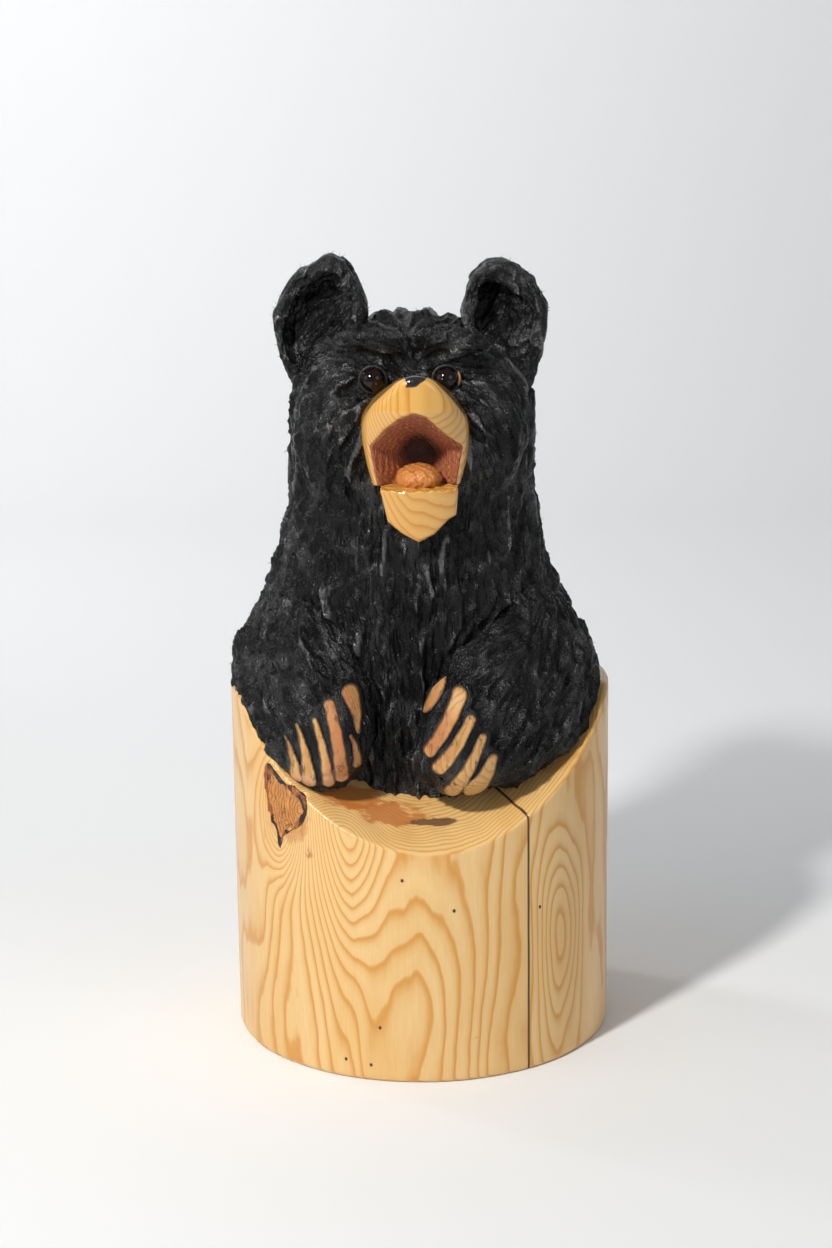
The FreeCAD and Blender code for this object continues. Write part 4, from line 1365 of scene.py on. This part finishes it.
class BEAR_OT_log(bpy.types.Operator):
    """Turn the log, with its ledge, drying split and knot"""

    bl_idname = "bear.log"
    bl_label = "Shape log"

    def execute(self, context):
        random = np.random.default_rng(5)
        knot_at = middle("branch_knot")
        knot_angle = math.atan2(knot_at[0], -knot_at[1])
        degree = math.radians(1)
        angles = np.arange(-180, 180) * degree
        angles = angles[np.abs(angles - knot_angle) > 15 * degree]
        angles = angles[np.abs(angles - SPLIT_ANGLE) > 0.9 * degree]
        close = knot_angle + np.arange(-15, 15.01, 0.4) * degree
        crack = SPLIT_ANGLE + np.array((-1.3, -0.75, -0.55, 0, 0.55, 0.75, 1.3)) / LOG_RADIUS
        angles = np.sort(np.concatenate((angles, close, crack)))
        in_crack = np.abs(angles - SPLIT_ANGLE) < 0.1 / LOG_RADIUS

        radius = LOG_RADIUS - 0.3 + 0.25 * np.sin(3 * angles + 1) + 0.12 * np.sin(11 * angles)
        sx, sy = np.sin(angles), -np.cos(angles)
        top = ledge_height(radius * sx, radius * sy)
        shares = np.concatenate((np.linspace(0, 0.60, 34)[1:-1], np.linspace(0.60, 1, 56)[:-1]))
        rings = []
        for z, inset in ((0.0, 2.2), (0.35, 1.2), (1.1, 0.4), (2.2, 0.0)):
            rings.append((np.full_like(top, z), radius - inset))
        for share in shares:
            rings.append((2.6 + share * (top - 2.6 - 2.2), radius.copy()))
        nick = 0.25 * np.sin(40 * angles + 3 * np.sin(9 * angles)) + random.normal(0, 0.10, len(angles))
        for drop, inset in ((1.5, 0.1), (0.55, 0.45), (0.0, 1.5)):
            rings.append((top - drop, radius - inset - np.abs(nick) * (drop < 1)))
        for share in np.linspace(0, 1, 40)[1:-1] ** 0.8:
            ring = (radius - 1.5) * (1 - share)
            x, y = ring * sx, ring * sy
            scored = 0.16 * np.sin((radius - ring) * 2.1 + 0.8 * np.sin(7 * angles))
            scored = scored * np.exp(-((radius - ring) / 30) ** 2)
            chatter = 0.22 * np.sin(x * 0.33 + 1.3 * np.sin(y * 0.2)) + random.normal(0, 0.03, len(angles))
            level = ledge_height(x, y)
            rings.append((level + np.where(level < LOG_TOP, scored + chatter, 0), ring))
        points = []
        for z, ring in rings:
            u = (angles - knot_angle) * LOG_RADIUS
            outline = outline_field(KNOT)(u, z - knot_at[2])
            reach = ring - 3.4 * np.clip(-outline / 1.2, 0, 1) * (ring > LOG_RADIUS - 8)
            inward = np.clip((ring - (LOG_RADIUS - 30)) / 30, 0, 1) ** 0.5
            reach = np.where(in_crack, reach - 7 * inward * (ring > LOG_RADIUS - 3), reach)
            z = np.where(in_crack & (ring < LOG_RADIUS - 3), z - 5 * inward, z)
            points.append(np.stack((reach * sx, reach * sy, z), 1))
        count = len(angles)
        points = np.concatenate(points)
        i = np.arange(count)
        j = (i + 1) % count
        faces = [
            np.stack((row * count + i, row * count + j, (row + 1) * count + j, (row + 1) * count + i), 1)
            for row in range(len(rings) - 1)
        ]
        faces = np.concatenate(faces)
        hub = np.array(((0, 0, ledge_height(0.0, 0.0)), (0, 0, 0.0)))
        end = (len(rings) - 1) * count
        lid = np.stack((end + i, end + j, np.full(count, len(points))), 1)
        foot = np.stack((j, i, np.full(count, len(points) + 1)), 1)
        points = np.concatenate((points, hub))
        faces = np.concatenate((faces[:, (0, 1, 2)], faces[:, (0, 2, 3)], lid, foot))
        mesh = mesh_from("log", points, faces)
        piece("pine_log", mesh, "log_pine", "log_base")
        self.knot(knot_at, knot_angle)
        return {"FINISHED"}

    def knot(self, knot_at, knot_angle):
        """The branch's wood and the ragged bark round it, each a closed plate that follows the log."""
        for name, node, slot, shares, lift in (
            ("branch", "branch_knot", "knot_wood", np.linspace(0.0, 0.80, 16), 0.0),
            ("rind", "knot_bark", "bark", np.linspace(0.76, 1.03, 7), 0.35),
        ):
            random = np.random.default_rng(8)
            turns = np.linspace(0, 2 * math.pi, 121)[:-1]
            rows = []
            for share in shares:
                ragged = 1 + 0.05 * np.sin(5 * turns + 9 * share) + 0.03 * np.sin(13 * turns)
                edge = knot_edge(120) * share * ragged[:, None] + KNOT_HEART
                u, v = edge[:, 0], edge[:, 1]
                bulge = 0.5 * math.cos(share * 7) + 0.45 * np.sin(u * 0.9 + 2 * np.sin(v * 0.4))
                bulge = bulge + random.normal(0, 0.16, 120)
                pit = 1.8 * np.exp(-(((u - 4) / 5) ** 2 + ((v + 12) / 4.5) ** 2))
                sunk = 1.2 if share in (shares[0], shares[-1]) and lift else 0
                r = LOG_RADIUS - 1.3 + lift + bulge * 0.7 - pit - sunk
                angle = knot_angle + u / LOG_RADIUS
                x, y = r * np.sin(angle), -r * np.cos(angle)
                z = np.minimum(v + knot_at[2], ledge_height(x, y) - 0.2)
                rows.append(np.stack((x, y, z), 1))
            front = np.concatenate(rows)
            inward = front * (1 - 4.5 / LOG_RADIUS, 1 - 4.5 / LOG_RADIUS, 1)
            n, layers = 120, len(shares)
            i = np.arange(n)
            j = (i + 1) % n
            faces = []
            for row in range(layers - 1):
                a, b = row * n, (row + 1) * n
                faces.append(np.stack((a + j, b + j, b + i, a + i), 1))
                faces.append(np.stack((a + i, b + i, b + j, a + j), 1) + layers * n)
            for row, flip in ((layers - 1, False), (0, True)):
                a, b = row * n, row * n + layers * n
                wall = np.stack((a + i, a + j, b + j, b + i), 1)
                faces.append(wall if flip else wall[:, ::-1])
            mesh = mesh_from(name, np.concatenate((front, inward)), np.concatenate(faces))
            piece(f"knot_{name}", mesh, slot, node)


class BEAR_OT_stage(bpy.types.Operator):
    """Set the floor, the lights and the camera"""

    bl_idname = "bear.stage"
    bl_label = "Set stage"

    def execute(self, context):
        scene = context.scene
        floor_mesh = bpy.data.meshes.new("floor")
        work = bmesh.new()
        back, side, rise, bend, steps = 1.6, 4.0, 3.5, 0.9, 24
        profile = [(-4.0, 0.0), (back, 0.0)]
        profile += [
            (back + bend * math.sin(t), bend * (1 - math.cos(t)))
            for t in (math.pi / 2 * k / steps for k in range(1, steps + 1))
        ]
        profile.append((back + bend, rise))
        rows = [[work.verts.new((x, y, z)) for x in (-side, side)] for y, z in profile]
        for a, b in zip(rows[:-1], rows[1:]):
            work.faces.new((a[0], a[1], b[1], b[0]))
        work.to_mesh(floor_mesh)
        work.free()
        floor_mesh.shade_smooth()
        floor = bpy.data.objects.new("floor", floor_mesh)
        scene.collection.objects.link(floor)
        paper = Finish("floor_paper")
        cloud = (paper.noise(300, (1, 1, 1), 2.0) - 0.5) * 0.1
        # Painted shade: the paper is darker round the front left, where the key light's pool is brightest, so
        # the floor looks evenly bright.
        key_pool_shade = paper.near_point((-120, -600, 0), (560, 560, 0)) + cloud
        paper.link(paper.mix(key_pool_shade, (0.93, 0.94, 0.94), (0.79, 0.80, 0.80)), "Base Color")
        paper.set(Roughness=0.85)
        floor_mesh.materials.append(paper.material)
        for name, place, power, size, tint, aim in (
            ("key", (-0.62, -0.95, 1.16), 19.0, 0.14, (1.0, 0.985, 0.96), (0, 0, 0.25)),
            ("fill", (1.9, -2.0, 1.2), 9.0, 1.6, (0.97, 0.98, 1.0), (0, 0, 0.25)),
            ("side", (-1.9, -0.7, 0.9), 4.5, 1.4, (1.0, 1.0, 1.0), (-0.3, 0.2, 0.1)),
            ("backdrop", (-1.2, 0.8, 1.5), 22.0, 0.9, (1.0, 1.0, 1.0), (0.2, 2.6, 1.1)),
        ):
            lamp = bpy.data.lights.new(name, "AREA")
            lamp.shape, lamp.size, lamp.energy, lamp.color = "DISK", size, power, tint
            thing = bpy.data.objects.new(name, lamp)
            scene.collection.objects.link(thing)
            thing.location = place
            thing.rotation_euler = (Vector(aim) - Vector(place)).to_track_quat("-Z", "Y").to_euler()
        world = bpy.data.worlds.new("studio")
        world.use_nodes = True
        world.node_tree.nodes["Background"].inputs["Color"].default_value = (0.93, 0.95, 1.0, 1.0)
        world.node_tree.nodes["Background"].inputs["Strength"].default_value = 0.27
        scene.world = world
        scene.view_settings.view_transform = "Standard"
        camera_data = bpy.data.cameras.new("camera")
        camera_data.sensor_width, camera_data.lens = 36.0, 69.23
        camera = bpy.data.objects.new("camera", camera_data)
        scene.collection.objects.link(camera)
        camera.location = (-0.002, -1.368, 0.558)
        tilt = Matrix.Rotation(math.radians(90 - 13.1), 4, "X")
        roll = Matrix.Rotation(math.radians(-0.7), 4, "Z")
        camera.rotation_euler = (tilt @ roll).to_euler()
        scene.camera = camera
        return {"FINISHED"}


OPERATORS = (
    BEAR_OT_log, BEAR_OT_bust, BEAR_OT_arms, BEAR_OT_claws, BEAR_OT_ears, BEAR_OT_muzzle, BEAR_OT_eyes,
    BEAR_OT_stage,
)


class BEAR_PT_carving(bpy.types.Panel):
    """Lists the carving's sizes and colours, with a button for each of its pieces"""

    bl_idname = "BEAR_PT_carving"
    bl_label = "Carved Bear"
    bl_space_type = "VIEW_3D"
    bl_region_type = "UI"
    bl_category = "Carved Bear"

    def draw(self, context):
        for title, settings in (("Sizes", context.scene.bear_sizes), ("Colours", context.scene.bear_colours)):
            box = self.layout.box()
            box.label(text=title)
            for name in settings.__annotations__:
                box.prop(settings, name)
        column = self.layout.column(align=True)
        for operator in OPERATORS:
            column.operator(operator.bl_idname)


CLASSES = (BearSizes, BearColours, *OPERATORS, BEAR_PT_carving)


def register():
    for item in CLASSES:
        bpy.utils.register_class(item)
    bpy.types.Scene.bear_sizes = PointerProperty(type=BearSizes)
    bpy.types.Scene.bear_colours = PointerProperty(type=BearColours)


def unregister():
    del bpy.types.Scene.bear_colours
    del bpy.types.Scene.bear_sizes
    for item in reversed(CLASSES):
        bpy.utils.unregister_class(item)


def main():
    register()
    for step in (
        bpy.ops.bear.log, bpy.ops.bear.bust, bpy.ops.bear.arms, bpy.ops.bear.claws, bpy.ops.bear.ears,
        bpy.ops.bear.muzzle, bpy.ops.bear.eyes, bpy.ops.bear.stage,
    ):
        step()


if __name__ == "__main__":
    main()
